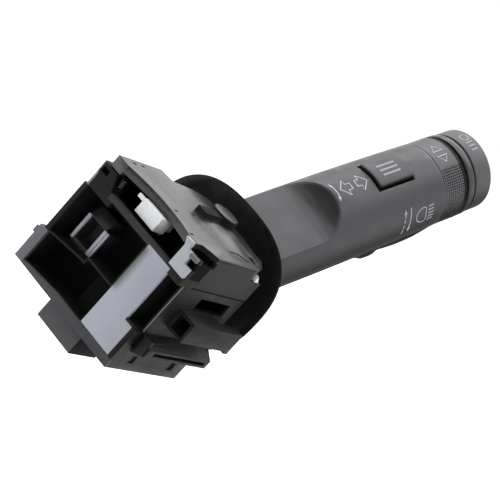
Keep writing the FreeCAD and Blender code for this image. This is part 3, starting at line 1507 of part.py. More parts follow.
def make_end_cap():
    body = new_body("end_cap")
    inner = SPIGOT_RADIUS + S.running_gap
    start = SHOULDER + S.cap_travel + 0.1
    outer = CAP_RADIUS
    edge = outer - S.cap_shoulder
    crown = S.cap_crown
    brow = CAP_END - crown + root(crown * crown - edge * edge)
    points = [
        (inner, start),
        (outer, start),
        (outer, brow - S.cap_shoulder),
        (edge, brow),
        (0, CAP_END),
        (0, CAP_FLOOR),
        (inner, CAP_FLOOR),
    ]
    revolve(body, points, {2: S.cap_shoulder_curve, 3: crown})
    keep_lever(body, "end_cap")


def make_end_spring():
    """Light return spring between the core's floor and the cap."""
    start = (0, 0, CORE_FLOOR)
    length = CAP_FLOOR - CORE_FLOOR
    outer = cylinder("end_spring_outer", S.end_spring_radius, length, start, (0, 0, 1), True)
    inner = cylinder("end_spring_inner", S.end_spring_radius - 0.7, length, start, (0, 0, 1), True)
    keep(cut("end_spring", outer, inner), "end_spring")


def check_parts():
    """Stop on any failed object or unsound sub-part."""
    failed = [item.Label for item in doc.Objects if {"Invalid", "Error"} & set(item.State)]
    if failed:
        raise RuntimeError(f"failed objects: {failed}")
    for item in parts:
        if item.Shape.isNull() or not item.Shape.isValid():
            raise RuntimeError(f"{item.Label}: unsound shape")


def write_parts():
    os.makedirs("parts", exist_ok=True)
    for item in parts:
        item.Shape.exportStep(os.path.join("parts", item.Label + ".step"))
        solids = len(item.Shape.Solids)
        print(f"{item.Label}: {solids} solid(s), {item.Shape.Volume:.1f} mm3")


make_housing()
make_cover()
make_seat_plate()
make_post_pad()
make_rear_socket()
make_socket_bars()
make_connector()
for number, row in enumerate(blade_rows(), start=1):
    make_blades(row, f"terminal_row_{number}")
make_yoke()
make_beam_pin()
make_turn_slider()
make_contact_board()
make_turn_wiper()
make_beam_slider()
make_beam_wiper()
make_beam_board()
make_board_screws()
make_detent_track()
make_pawl()
make_pawl_pin()
make_pawl_spring()
make_lever_arm()
make_plunger()
make_plunger_spring()
make_disc()
make_handle()
make_handle_screws()
make_menu_button()
make_lever_board()
make_button_dome()
make_dial_core()
make_scroll_ring()
make_collar()
make_end_cap()
make_end_spring()
doc.recompute()
check_parts()
write_parts()
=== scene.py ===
import json
import math
import bmesh
import bpy
from mathutils import Matrix, Vector


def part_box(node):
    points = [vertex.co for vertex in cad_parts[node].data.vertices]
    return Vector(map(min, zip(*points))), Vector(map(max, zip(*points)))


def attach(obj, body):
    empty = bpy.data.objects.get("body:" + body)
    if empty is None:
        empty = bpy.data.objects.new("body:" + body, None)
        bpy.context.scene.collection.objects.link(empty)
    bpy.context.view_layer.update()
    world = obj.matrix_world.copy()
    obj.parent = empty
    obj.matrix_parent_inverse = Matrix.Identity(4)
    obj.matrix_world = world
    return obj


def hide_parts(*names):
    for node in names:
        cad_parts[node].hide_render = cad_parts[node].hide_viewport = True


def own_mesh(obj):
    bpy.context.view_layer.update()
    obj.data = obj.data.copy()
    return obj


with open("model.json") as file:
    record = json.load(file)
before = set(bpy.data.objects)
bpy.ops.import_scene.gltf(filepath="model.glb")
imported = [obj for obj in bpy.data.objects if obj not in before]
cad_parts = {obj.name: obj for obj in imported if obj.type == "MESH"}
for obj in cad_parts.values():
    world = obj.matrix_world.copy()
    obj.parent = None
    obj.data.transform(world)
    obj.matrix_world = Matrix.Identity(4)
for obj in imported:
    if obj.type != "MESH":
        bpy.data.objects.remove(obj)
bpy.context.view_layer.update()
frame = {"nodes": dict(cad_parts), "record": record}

# Sizes in millimetres, as in the solids; s is the distance along the lever from the disc
MM = 0.001
BARREL_START, BARREL_END = -14.0, 97.7
BARREL_ROOT, BARREL_TIP = 15.4, 15.1
BARREL_BOW = 2600.0
RING_START, RING_END = 98.0, 108.7
RING_BORE, RING_RADIUS = 13.45, 15.0
CAP_RADIUS = 14.6
KEY_RADIUS = 16.8
STROKE, WIDE_STROKE = 0.42, 0.5
INK_THICKNESS = 0.03

# Lever frame: origin at the disc centre, OUT along the lever, TOP towards the driver, SIDE across
TILT = math.radians(34)
OUT = Vector((-math.cos(TILT), 0, math.sin(TILT)))
TOP = Vector((math.sin(TILT), 0, math.cos(TILT)))
SIDE = Vector((0, 1, 0))
DISC = Vector((-50, 0, -8))


def lever(x, y, s):
    """A point of the lever frame, in millimetres, as a row point in metres."""
    return (DISC + TOP * x + SIDE * y + OUT * s) * MM


def round_lever(radius, angle, s):
    """A point given by its radius in millimetres and its angle about the lever's axis."""
    return lever(radius * math.cos(angle), radius * math.sin(angle), s)


def handle_radius(s):
    """Radius of the handle's barrel at s: a slight taper with a slight belly."""
    chord = BARREL_ROOT + (BARREL_TIP - BARREL_ROOT) * (s - BARREL_START) / (BARREL_END - BARREL_START)
    return chord + (s - BARREL_START) * (BARREL_END - s) / (2 * BARREL_BOW)


# Shader building blocks
def new_material(name):
    material = bpy.data.materials.new(name)
    material.use_nodes = True
    tree = material.node_tree
    return material, tree, tree.nodes["Principled BSDF"]


def grey(value):
    return (value, value, value, 1.0)


def noise(tree, scale, detail=3.0, rough=0.5):
    """Noise in object space; scale is features per metre."""
    coords = tree.nodes.new("ShaderNodeTexCoord")
    node = tree.nodes.new("ShaderNodeTexNoise")
    node.inputs["Scale"].default_value = scale
    node.inputs["Detail"].default_value = detail
    node.inputs["Roughness"].default_value = rough
    tree.links.new(coords.outputs["Object"], node.inputs["Vector"])
    return node.outputs["Fac"]


def ramp(tree, source, low, high, start=0.35, end=0.65):
    """Colour that goes from low to high as the source goes from start to end."""
    node = tree.nodes.new("ShaderNodeValToRGB")
    first, last = node.color_ramp.elements
    first.position = start
    last.position = end
    first.color = low
    last.color = high
    tree.links.new(source, node.inputs["Fac"])
    return node.outputs["Color"]


def blend(tree, factor, first, second):
    """Mix a colour socket with a plain colour."""
    mix = tree.nodes.new("ShaderNodeMix")
    mix.data_type = "RGBA"
    tree.links.new(factor, mix.inputs["Factor"])
    tree.links.new(first, mix.inputs["A"])
    mix.inputs["B"].default_value = second
    return mix.outputs["Result"]


def math_node(tree, operation, first, second=None):
    node = tree.nodes.new("ShaderNodeMath")
    node.operation = operation
    tree.links.new(first, node.inputs[0])
    if second is not None:
        tree.links.new(second, node.inputs[1])
    return node.outputs[0]


def edge_ramp(tree, source, start, end):
    """Smooth step from 0 at start to 1 at end, both in millimetres."""
    edge = tree.nodes.new("ShaderNodeMapRange")
    edge.interpolation_type = "SMOOTHSTEP"
    edge.inputs["From Min"].default_value = start * MM
    edge.inputs["From Max"].default_value = end * MM
    tree.links.new(source, edge.inputs["Value"])
    return edge.outputs["Result"]


def coordinates(tree, tilted):
    """Three sockets with a point's place in metres, in the row frame or (tilted) in the lever's."""
    coords = tree.nodes.new("ShaderNodeTexCoord")
    if not tilted:
        split = tree.nodes.new("ShaderNodeSeparateXYZ")
        tree.links.new(coords.outputs["Object"], split.inputs[0])
        return list(split.outputs)
    shift = tree.nodes.new("ShaderNodeVectorMath")
    shift.operation = "SUBTRACT"
    shift.inputs[1].default_value = DISC * MM
    tree.links.new(coords.outputs["Object"], shift.inputs[0])
    sockets = []
    for axis in (TOP, SIDE, OUT):
        along = tree.nodes.new("ShaderNodeVectorMath")
        along.operation = "DOT_PRODUCT"
        along.inputs[1].default_value = axis
        tree.links.new(shift.outputs["Vector"], along.inputs[0])
        sockets.append(along.outputs["Value"])
    return sockets


def zone(tree, low, high, soft, tilted):
    """Factor that is 1 inside a box in millimetres, with soft sides; a side that is None is open."""
    factor = None
    for source, start, end in zip(coordinates(tree, tilted), low, high):
        for bound, sign in ((start, 1), (end, -1)):
            if bound is None:
                continue
            edge = edge_ramp(tree, source, bound - sign * soft, bound + sign * soft)
            factor = edge if factor is None else math_node(tree, "MULTIPLY", factor, edge)
    return factor


def barrel_depth(tree, low, high):
    """Factor that falls from 1 to 0 as the distance from the lever's axis grows from low to high."""
    across, side, _ = coordinates(tree, tilted=True)
    squares = [math_node(tree, "MULTIPLY", value, value) for value in (across, side)]
    distance = math_node(tree, "SQRT", math_node(tree, "ADD", *squares))
    return edge_ramp(tree, distance, high, low)


def run_out(tree):
    """Factor of the painted shade on the thumb scoop's run-out, a little askew across the lever."""
    slope = -0.21
    start, whole, fading, gone = 41.7, 44.5, 52.0, 54.0
    hollow, surface = 15.15, 15.4
    _, side, along = coordinates(tree, tilted=True)
    skew = tree.nodes.new("ShaderNodeMath")
    skew.operation = "MULTIPLY_ADD"
    skew.inputs[1].default_value = slope
    tree.links.new(side, skew.inputs[0])
    tree.links.new(along, skew.inputs[2])
    edge = edge_ramp(tree, skew.outputs[0], start, whole)
    factor = math_node(tree, "MULTIPLY", edge, barrel_depth(tree, hollow, surface))
    return math_node(tree, "MULTIPLY", factor, edge_ramp(tree, along, gone, fading))


def plastic(
    name, color, rough, grain=2600, grain_depth=0.02, mottle=0.10, speck=0.0, spread=0.06,
    metal=0.0, gloss=0.5, zones=(), lever_zones=(), pits=None, scoop=False,
):
    """Moulded plastic or bare metal: slow colour drift, fine grain, uneven gloss and pale specks.

    A zone is a box with its own tone, mostly painted shade or highlight: low, high, softness,
    colour and maybe roughness, in the row frame or the lever's. Pits are two distances from the
    lever's axis, between which painted shade goes from dark to plain. Scoop paints shade on the
    thumb scoop's run-out."""
    material, tree, shader = new_material(name)
    shader.inputs["Metallic"].default_value = metal
    shader.inputs["Specular IOR Level"].default_value = gloss
    slow = noise(tree, 55, 4.0, 0.6)
    dark = tuple(c * (1 - mottle) for c in color) + (1.0,)
    light = tuple(min(1.0, c * (1 + mottle)) for c in color) + (1.0,)
    base = ramp(tree, slow, dark, light)
    patch = noise(tree, 160, 3.0, 0.6)
    low_rough, high_rough = grey(max(0.02, rough - spread)), grey(min(1.0, rough + spread))
    sheen = ramp(tree, patch, low_rough, high_rough)
    boxes = [(item, False) for item in zones] + [(item, True) for item in lever_zones]
    for (low, high, soft, tone, *matt), tilted in boxes:
        inside = zone(tree, low, high, soft, tilted)
        base = blend(tree, inside, base, (*tone, 1.0))
        if matt:
            sheen = blend(tree, inside, sheen, grey(matt[0]))
    if pits:
        base = blend(tree, barrel_depth(tree, *pits), base, (*DARK, 1.0))
    if scoop:
        base = blend(tree, run_out(tree), base, (*SCOOP_SHADE, 1.0))
    if speck > 0:
        dots = noise(tree, 1900, 2.0, 0.4)
        mask = ramp(tree, dots, grey(0), grey(speck), 0.66, 0.74)
        pale = tuple(min(1.0, c * 2.4 + 0.03) for c in color) + (1.0,)
        base = blend(tree, mask, base, pale)
    tree.links.new(base, shader.inputs["Base Color"])
    tree.links.new(sheen, shader.inputs["Roughness"])
    fine = noise(tree, grain, 2.0)
    bump = tree.nodes.new("ShaderNodeBump")
    bump.inputs["Strength"].default_value = 0.35
    bump.inputs["Distance"].default_value = grain_depth * MM
    tree.links.new(fine, bump.inputs["Height"])
    tree.links.new(bump.outputs["Normal"], shader.inputs["Normal"])
    return material


# Zones: painted shade keeps deep places of the mouldings nearly black, and painted highlights make a
# few rims paler
# DARK is the near-black painted shade of hollows, pits and shaded sides, and also the dark of the
# seams
DARK = (0.003, 0.003, 0.0032)
SCOOP_SHADE = (0.006, 0.006, 0.0075)
CASE_ZONES = (
    ((-39.6, -21.55, -34.7), (-1.0, 23.5, 8.1), 0.3, DARK, 1.0),  # cavities: painted shade
    ((-3.0, -13.2, -1.6), (1.0, 16.6, 0.6), 0.1, (0.030, 0.030, 0.033)),  # cross rail
    ((-1.2, -26.0, -36.6), (1.0, -21.4, -23.0), 0.2, (0.12, 0.12, 0.135)),  # -Y rim, low: painted highlight
    ((-1.2, -21.4, -36.6), (1.0, 24.5, -33.2), 0.2, (0.05, 0.05, 0.056)),  # lower rim: painted highlight
    ((-1.7, -23.4, -3.6), (0.2, -21.4, 1.6), 0.2, (0.16, 0.16, 0.17)),  # -Y end of the rail: painted highlight
    ((-9.0, 17.9, 0.5), (-2.7, 24.6, 8.3), 0.2, DARK, 1.0),  # hollow of the +Y post: painted shade
    ((-3.9, 24.05, -20.9), (-3.5, 24.6, -2.3), 0.05, (0.14, 0.14, 0.15)),  # edge of the +Y wall: painted highlight
    ((-42.0, 24.0, -2.5), (-8.0, 24.8, -1.9), 0.06, DARK, 1.0),  # seam below the cover
    ((-0.5, -21.4, 0.0), (1.0, -15.0, 5.5), 0.2, (0.007, 0.007, 0.008), 0.6),  # -Y post
)
LID_ZONES = (
    ((-41.0, -21.3, -1.8), (-0.5, 22.4, 7.15), 0.25, DARK, 1.0),  # underneath: painted shade
    ((-0.6, -20.4, 5.8), (0.6, -15.2, 9.9), 0.15, (0.06, 0.06, 0.066)),  # -Y front corner: painted light on its face
    ((-42.0, 24.2, -1.8), (-8.0, 24.6, 9.6), 0.1, (0.005, 0.005, 0.006), 0.75),  # +Y skirt: painted shade on a side away from the light
    ((-42.0, -30.0, -1.8), (-1.0, -22.0, 9.0), 0.3, (0.004, 0.004, 0.0045), 0.9),  # -Y skirt: painted shade on a side away from the light
    ((-10.0, 18.9, 5.8), (-1.7, 24.3, 9.9), 0.1, DARK, 1.0),  # slot in the ear: painted shade
    ((-45.0, -6.0, 10.08), (-20.0, 6.0, 12.55), 0.06, DARK, 1.0),  # sides of boss and rib: painted shade
    ((-42.0, 24.1, 9.25), (-8.0, 24.7, 9.7), 0.06, DARK, 0.9),  # upper edge of the skirt
    ((-40.0, 4.2, 9.8), (-29.5, 8.4, 10.06), 1.6, DARK, 0.9),  # shade beside the boss
)
PAD_ZONES = (((-2.0, 20.6, 6.0), (1.0, 25.0, 8.0), 0.2, (0.10, 0.10, 0.11)),)
# painted shade: the seat plate fades dark towards its edge by the cavity
PLATE_ZONES = (((-2.0, 4.0, -18.0), (1.0, 9.7, -2.0), 1.7, (0.03, 0.03, 0.034)),)
PLUG_ZONES = (((-20.5, 10.0, -45.0), (-3.0, 10.4, -36.0), 0.1, DARK, 1.0),)
# painted shade: the white pawl darkens towards its lower +Y end
PAWL_ZONES = (((-3.0, 5.0, -3.0), (1.0, 8.0, 4.0), 0.8, (0.08, 0.08, 0.085)),)

# In the lever's frame: its underside faces away from the light, so it gets painted shade and a dull
# gloss
UNDERSIDE = ((None, None, None), (2.5, None, None), 5.0, (0.006, 0.006, 0.0065), 0.95)
RING_ZONES = (
    ((9.0, -12.2, 98.2), (16.0, 6.0, 107.5), 0.15, (0.060, 0.0605, 0.067)),  # plain sector
    ((-16.0, -16.0, 107.3), (16.0, 16.0, 109.0), 0.12, DARK, 0.8),  # end by the groove: painted shade
    UNDERSIDE,
)

SATIN = {"grain": 900, "mottle": 0.03}
MATERIALS = {
    "black_plastic": plastic(
        "case_black", (0.007, 0.007, 0.0076), 0.50, speck=0.04, gloss=0.16, zones=CASE_ZONES,
    ),
    "lid": plastic(
        "lid_black", (0.018, 0.018, 0.019), 0.29, grain=1800, grain_depth=0.008, mottle=0.05,
        speck=0.04, spread=0.02, zones=LID_ZONES,
    ),
    "plug": plastic("plug_black", (0.053, 0.053, 0.058), 0.46, gloss=0.3, zones=PLUG_ZONES),
    "plate": plastic(
        "plate_satin", (0.29, 0.305, 0.345), 0.32, grain_depth=0.003, spread=0.03,
        zones=PLATE_ZONES, **SATIN,
    ),
    "pad": plastic(
        "pad_satin", (0.34, 0.35, 0.385), 0.32, grain_depth=0.004, zones=PAD_ZONES, **SATIN,
    ),
    "socket": plastic("socket_black", (0.016, 0.016, 0.018), 0.45, gloss=0.4),
    "disc": plastic("disc_black", (0.008, 0.008, 0.009), 0.42, grain=3000, gloss=0.25),
    # painted shade on the underside and in the scoop's run-out
    "grip_plastic": plastic(
        "grip_dark", (0.038, 0.0385, 0.0440), 0.42, grain=3200, grain_depth=0.03, gloss=0.45,
        lever_zones=(UNDERSIDE,), scoop=True,
    ),
    # painted shade on the menu key's sides, set by its pits
    "button": plastic(
        "button_dark", (0.038, 0.0385, 0.043), 0.42, grain=3200, gloss=0.4, pits=(16.2, 16.45),
    ),
    # painted shade in the knurl's pits, at the end by the groove and on the underside
    "ring": plastic(
        "ring_dark", (0.095, 0.096, 0.104), 0.45, grain=3200, lever_zones=RING_ZONES,
        pits=(14.66, 14.92),
    ),
    "cap": plastic(
        "cap_dark", (0.058, 0.0585, 0.064), 0.45, grain=3200, lever_zones=(UNDERSIDE,),
    ),
    "gloss_black": plastic(
        "gloss_black", (0.030, 0.030, 0.032), 0.28, grain_depth=0.002, spread=0.03,
        lever_zones=(UNDERSIDE,),
    ),
    "pale_plastic": plastic(
        "pale_satin", (0.33, 0.345, 0.385), 0.32, grain_depth=0.003, spread=0.03, **SATIN,
    ),
    "white_plastic": plastic(
        "pawl_white", (0.70, 0.71, 0.73), 0.40, mottle=0.04, zones=PAWL_ZONES,
    ),
    "natural_plastic": plastic("natural", (0.74, 0.70, 0.60), 0.42, mottle=0.05),
    "inner_plastic": plastic("inner_dark", (0.020, 0.020, 0.022), 0.5, gloss=0.3),
    "board": plastic("board_green", (0.03, 0.12, 0.06), 0.32, mottle=0.2),
    "brass": plastic("tinned_brass", (0.72, 0.62, 0.42), 0.28, metal=1.0, mottle=0.06),
    "steel": plastic("bright_steel", (0.62, 0.62, 0.64), 0.25, metal=1.0, mottle=0.05),
    "dark_steel": plastic("dark_steel", (0.10, 0.10, 0.105), 0.35, metal=1.0, mottle=0.05),
    "rubber": plastic("dome_rubber", (0.06, 0.06, 0.065), 0.65),
    "print": plastic("print_grey", (0.42, 0.42, 0.47), 0.5, grain_depth=0.004, mottle=0.06),
    "faint_print": plastic("print_faint", (0.27, 0.27, 0.32), 0.5, grain_depth=0.004, mottle=0.06),
}
SLOTS = {item["node"]: item["material_slot"] for item in frame["record"]["subparts"]}
# Nodes with a material of their own within their slot
OVERRIDES = {
    "top_cover": "lid",
    "scroll_ring": "ring",
    "shield_disc": "disc",
    "menu_button": "button",
    "end_cap": "cap",
    "rear_socket": "socket",
    "seat_plate": "plate",
    "pawl_spring": "dark_steel",
    "post_pad": "pad",
    "connector_shroud": "plug",
}
# Edge rounding in millimetres, and the nodes that have another one
USUAL_BEVEL = 0.18
BEVELS = {
    "turn_wiper": 0.02,
    "beam_wiper": 0.02,
    "pawl_spring": 0.01,
    "shield_disc": 0.25,
    "collar_ring": 0.08,
    "top_cover": 0.22,
    "switch_housing": 0.2,
}


def dress_nodes():
    """Every carried-over solid gets its material, smooth shading and slightly rounded edges."""
    sharp_angle, bevel_angle = math.radians(32), math.radians(40)
    for name, node in frame["nodes"].items():
        node.data.materials.clear()
        node.data.materials.append(MATERIALS[OVERRIDES.get(name, SLOTS[name])])
        node.data.shade_smooth()
        node.data.set_sharp_from_angle(angle=sharp_angle)
        weld = node.modifiers.new("weld", "WELD")
        weld.merge_threshold = 0.002 * MM
        bevel = node.modifiers.new("bevel", "BEVEL")
        bevel.width = BEVELS.get(name, USUAL_BEVEL) * MM
        bevel.segments = 2
        bevel.limit_method = "ANGLE"
        bevel.angle_limit = bevel_angle
        bevel.harden_normals = True


dress_nodes()


# Helpers for pieces made from points
def new_piece(name, mesh, material, body):
    piece = bpy.data.objects.new(name, mesh)
    bpy.context.scene.collection.objects.link(piece)
    mesh.materials.append(MATERIALS[material])
    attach(piece, body)
    return piece


def bridge(build, loops):
    """Quads from each closed loop of vertices to the next one."""
    for first, second in zip(loops, loops[1:]):
        for i in range(len(first)):
            j = (i + 1) % len(first)
            build.faces.new((first[i], first[j], second[j], second[i]))


def to_mesh(build, name):
    """Mesh of a built solid, with its faces outwards."""
    bmesh.ops.recalc_face_normals(build, faces=build.faces[:])
    mesh = bpy.data.meshes.new(name)
    build.to_mesh(mesh)
    build.free()
    return mesh


def smooth_mesh(build, name, sharp):
    """Mesh with smooth shading, but for the edges sharper than an angle in degrees."""
    mesh = to_mesh(build, name)
    mesh.shade_smooth()
    mesh.set_sharp_from_angle(angle=math.radians(sharp))
    return mesh


def arc_points(centre, radius, start, end, steps):
    """Points of a circle between two angles in degrees."""
    points = []
    for k in range(steps + 1):
        angle = math.radians(start + (end - start) * k / steps)
        points.append((centre[0] + radius * math.cos(angle), centre[1] + radius * math.sin(angle)))
    return points


# Printed signs: a flat point is (s, arc), with the arc measured round the lever from its top
def wrapped(radius_at, lift):
    """Maps a flat point in millimetres onto a barrel about the lever's axis."""
    def onto_barrel(s, arc):
        radius = radius_at(s)
        return round_lever(radius + lift, arc / radius, s)
    return onto_barrel


def ribbon(points, width, closed=False):
    """Flat quads of a stroke of constant width along points."""
    count = len(points)
    sides = []
    for i, point in enumerate(points):
        before = points[i - 1] if i > 0 or closed else point
        after = points[(i + 1) % count] if i < count - 1 or closed else point
        direction = Vector((after[0] - before[0], after[1] - before[1])).normalized()
        across = Vector((-direction.y, direction.x)) * width / 2
        left = (point[0] + across.x, point[1] + across.y)
        right = (point[0] - across.x, point[1] - across.y)
        sides.append((left, right))
    quads = []
    for i in range(count if closed else count - 1):
        a, b = sides[i], sides[(i + 1) % count]
        quads.append([a[0], b[0], b[1], a[1]])
    return quads


def bars(start, end, levels, width):
    """Parallel bars from start to end along the lever, one at each level of the arc."""
    faces = []
    for level in levels:
        faces += ribbon([(start, level), (end, level)], width)
    return faces


def printed(name, faces, onto, body, material="print"):
    """Ink: flat faces cut fine, laid on the surface and given a little thickness."""
    finest, rounds = 0.7, 4
    flat = bmesh.new()
    for face in faces:
        flat.faces.new([flat.verts.new((p[0], p[1], 0)) for p in face])
    bmesh.ops.triangulate(flat, faces=flat.faces[:])
    for _ in range(rounds):
        long = [e for e in flat.edges if e.calc_length() > finest]
        if not long:
            break
        bmesh.ops.subdivide_edges(flat, edges=long, cuts=1)
        bmesh.ops.triangulate(flat, faces=flat.faces[:])
    for vertex in flat.verts:
        vertex.co = onto(vertex.co.x, vertex.co.y)
    mesh = bpy.data.meshes.new(name)
    flat.to_mesh(mesh)
    flat.free()
    piece = new_piece(name, mesh, material, body)
    solid = piece.modifiers.new("ink", "SOLIDIFY")
    solid.thickness = INK_THICKNESS * MM
    solid.offset = 0


def arrow_outline(tail, tip, width, head, head_length):
    """Outline of a block arrow from its tail to its tip."""
    a, b = Vector(tail), Vector(tip)
    along = (b - a).normalized()
    side = Vector((-along.y, along.x))
    neck = b - along * head_length
    points = [
        a + side * width / 2, neck + side * width / 2, neck + side * head / 2, b,
        neck - side * head / 2, neck - side * width / 2, a - side * width / 2,
    ]
    return [(p.x, p.y) for p in points]


def make_turn_signs():
    """Double-ended arrow round the end of the scoop, and a pair of open block arrows."""
    on_handle = wrapped(handle_radius, lift=0.03)
    middle, reach = 1.25, 13.8
    faces = ribbon(arc_points((38.4, middle), reach, -13, 13, 18), STROKE)
    for sign in (-1, 1):
        tip = (51.5, middle + sign * 3.9)
        faces.append([tip, (51.3, tip[1] - sign * 1.7), (52.5, tip[1] - sign * 1.5)])
    printed("turn_sweep", faces, on_handle, "lever")
    shaft, head, head_length = 2.6, 6.6, 3.1
    for name, tail, tip in (
        ("turn_arrow_a", (59.1, 1.05), (54.1, 1.05)),
        ("turn_arrow_b", (61.4, 0.9), (66.4, 0.9)),
    ):
        outline = arrow_outline(tail, tip, shaft, head, head_length)
        printed(name, ribbon(outline, STROKE, closed=True), on_handle, "lever")


def make_list_sign():
    """Three short bars on the menu key, a plain list sign."""
    on_key = wrapped(lambda s: KEY_RADIUS, lift=0.02)
    printed("list_sign", bars(73.0, 81.0, (-1.9, 0.1, 2.1), 0.7), on_key, "button", "faint_print")


def make_lamp_signs():
    """Lamp with beams, and the solid and dashed turning arrows beside it."""
    on_handle = wrapped(handle_radius, lift=0.03)
    bowl = []
    for degrees in range(90, 271, 10):
        angle = math.radians(degrees)
        bowl.append((87.0 + 3.5 * math.cos(angle), 20.0 + 2.95 * math.sin(angle)))
    faces = ribbon([(88.2, 22.5), *bowl, (88.1, 17.5)], STROKE, closed=True)
    for k in range(5):
        level = 17.2 + 1.34 * k
        faces += ribbon([(89.2, level + 0.15), (91.9, level - 0.1)], WIDE_STROKE)
    printed("lamp_sign", faces, on_handle, "lever", "faint_print")
    line = 80.5
    faces = ribbon([(line, 15.5), (line, 23.8)], WIDE_STROKE)
    faces.append([(line - 0.75, 23.5), (line + 0.85, 23.5), (line + 0.2, 25.5)])
    printed("lamp_turn_solid", faces, on_handle, "lever", "faint_print")
    line = 77.85
    faces = ribbon([(line, 17.1), (line, 18.8)], WIDE_STROKE)
    faces.append([(line - 0.8, 17.4), (line, 15.6), (line + 0.8, 17.4)])
    for start, end in ((19.4, 20.9), (21.6, 23.2), (23.8, 25.7)):
        faces += ribbon([(line, start), (line, end)], WIDE_STROKE)
    printed("lamp_turn_dashed", faces, on_handle, "lever", "faint_print")


def make_scroll_marks():
    """Two hollow triangles on the plain sector of the scroll ring."""
    on_ring = wrapped(lambda s: RING_RADIUS, lift=0.05)
    one = [(102.2, -3.7), (104.7, -0.85), (100.4, -0.75)]
    two = [(100.5, 1.6), (105.0, 1.5), (102.85, 4.15)]
    faces = ribbon(one, WIDE_STROKE, closed=True) + ribbon(two, WIDE_STROKE, closed=True)
    printed("scroll_marks", faces, on_ring, "dial")


def make_press_sign():
    """Small ring and bars on the end cap, a plain press sign."""
    on_cap = wrapped(lambda s: CAP_RADIUS, lift=0.03)
    faces = ribbon(arc_points((118.2, -2.9), 1.6, 0, 350, 24), STROKE, closed=True)
    faces += bars(116.6, 119.8, (-0.2, 1.5, 3.2), WIDE_STROKE)
    printed("press_sign", faces, on_cap, "cap", "faint_print")


make_turn_signs()
make_list_sign()
make_lamp_signs()
make_scroll_marks()
make_press_sign()


# Scroll ring, end cap and menu key, each in place of its plain solid
def make_scroll_ring():
    """Scroll ring with its grid of moulded pits; a sector on the upper side stays plain."""
    rows, columns = 88, 960
    pitch_s, pitch_angle = 1.0, 3.6
    round_over, first_pit = 0.3, 0.35
    pit_half, pit_depth, land = 0.36, 0.45, 0.03
    grip_from, grip_to = 24, 309

    def dip(share):
        """Depth of a pit along one direction, from 0 at its sides to 1 in its middle."""
        return max(0.0, 1 - (abs(share % 1.0 - 0.5) / pit_half) ** 5)

    def surface(degrees, s):
        edge = min(s - RING_START, RING_END - s)
        if edge < round_over:
            return RING_RADIUS - round_over * (1 - edge / round_over) ** 2
        if not grip_from < degrees < grip_to:
            return RING_RADIUS
        pit = dip((s - RING_START - first_pit) / pitch_s) * dip(degrees / pitch_angle)
        return RING_RADIUS - land - pit_depth * pit

    build = bmesh.new()
    loops = []
    for i in range(columns):
        degrees = 360.0 * i / columns
        angle = math.radians(degrees)
        loop = []
        for j in range(rows + 1):
            s = RING_START + (RING_END - RING_START) * j / rows
            loop.append(build.verts.new(round_lever(surface(degrees, s), angle, s)))
        for s in (RING_END, RING_START):
            loop.append(build.verts.new(round_lever(RING_BORE, angle, s)))
        loops.append(loop)
    bridge(build, [*loops, loops[0]])
    mesh = smooth_mesh(build, "scroll_ring_grip", 50)
    piece = new_piece("scroll_ring_grip", mesh, "ring", "dial")
    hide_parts("scroll_ring")


def make_cap():
    """End cap with its soft shoulder and slightly crowned end; it moves over the dial's spigot."""
    steps = 160
    bore, foot, floor = 12.6, 112.1, 120.6
    neck, skirt, lip = 14.0, 113.9, 0.2
    shoulder, end, crown = 1.3, 122.4, 0.35
    centre = (CAP_RADIUS - shoulder, end - crown - shoulder)
    profile = [
        (bore, foot), (neck, foot), (neck, skirt), (CAP_RADIUS - lip, skirt),
        (CAP_RADIUS, skirt + lip), *arc_points(centre, shoulder, 0, 90, 6), (8.0, end - 0.12),
        (0.01, end), (0.01, floor), (bore, floor),
    ]
    build = bmesh.new()
    loops = []
    for i in range(steps):
        angle = 2 * math.pi * i / steps
        loops.append([build.verts.new(round_lever(radius, angle, s)) for radius, s in profile])
    bridge(build, [*loops, loops[0]])
    piece = new_piece("press_cap", smooth_mesh(build, "press_cap", 35), "cap", "cap")
    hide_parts("end_cap")


def rounded_outline(low, high, half, corner, inset):
    """Rounded rectangle of (s, y) points, moved inwards by the inset."""
    radius = max(0.05, corner - inset)
    points = []
    for sign_s, sign_y, start in ((1, 1, 0), (-1, 1, 90), (-1, -1, 180), (1, -1, 270)):
        middle_s = (high if sign_s > 0 else low) - sign_s * (inset + radius)
        middle_y = sign_y * (half - inset - radius)
        points += arc_points((middle_s, middle_y), radius, start, start + 90, 6)
        s, y = points[-1]
        if sign_s * sign_y > 0:
            far = low if sign_s > 0 else high
            span = (far - s + sign_s * (inset + radius), 0)
        else:
            span = (0, -2 * y)
        points += [(s + span[0] * step / 8, y + span[1] * step / 8) for step in range(1, 8)]
    return points


def make_menu_key():
    """Menu key: straight sides, made dark by painted shade in its material, a rounded edge and a top
    crowned across the lever.
    """
    low, high, half, corner = 69.2, 85.3, 5.4, 1.2
    base, round_over = 9.5, 0.4
    rings = [(0.0, None)]
    for degrees in range(0, 91, 18):
        angle = math.radians(degrees)
        rings.append((round_over * (1 - math.cos(angle)), round_over * (1 - math.sin(angle))))
    rings += [(inset, 0.0) for inset in (1.6, 2.8, 4.0, 5.2)]
    build = bmesh.new()
    loops = []
    for inset, drop in rings:
        loop = []
        for s, y in rounded_outline(low, high, half, corner, inset):
            height = base if drop is None else math.sqrt(KEY_RADIUS ** 2 - y * y) - drop
            loop.append(build.verts.new(lever(height, y, s)))
        loops.append(loop)
    bridge(build, loops)
    build.faces.new(loops[-1])
    build.faces.new(loops[0])
    piece = new_piece("menu_key", smooth_mesh(build, "menu_key", 40), "button", "button")
    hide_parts("menu_button")


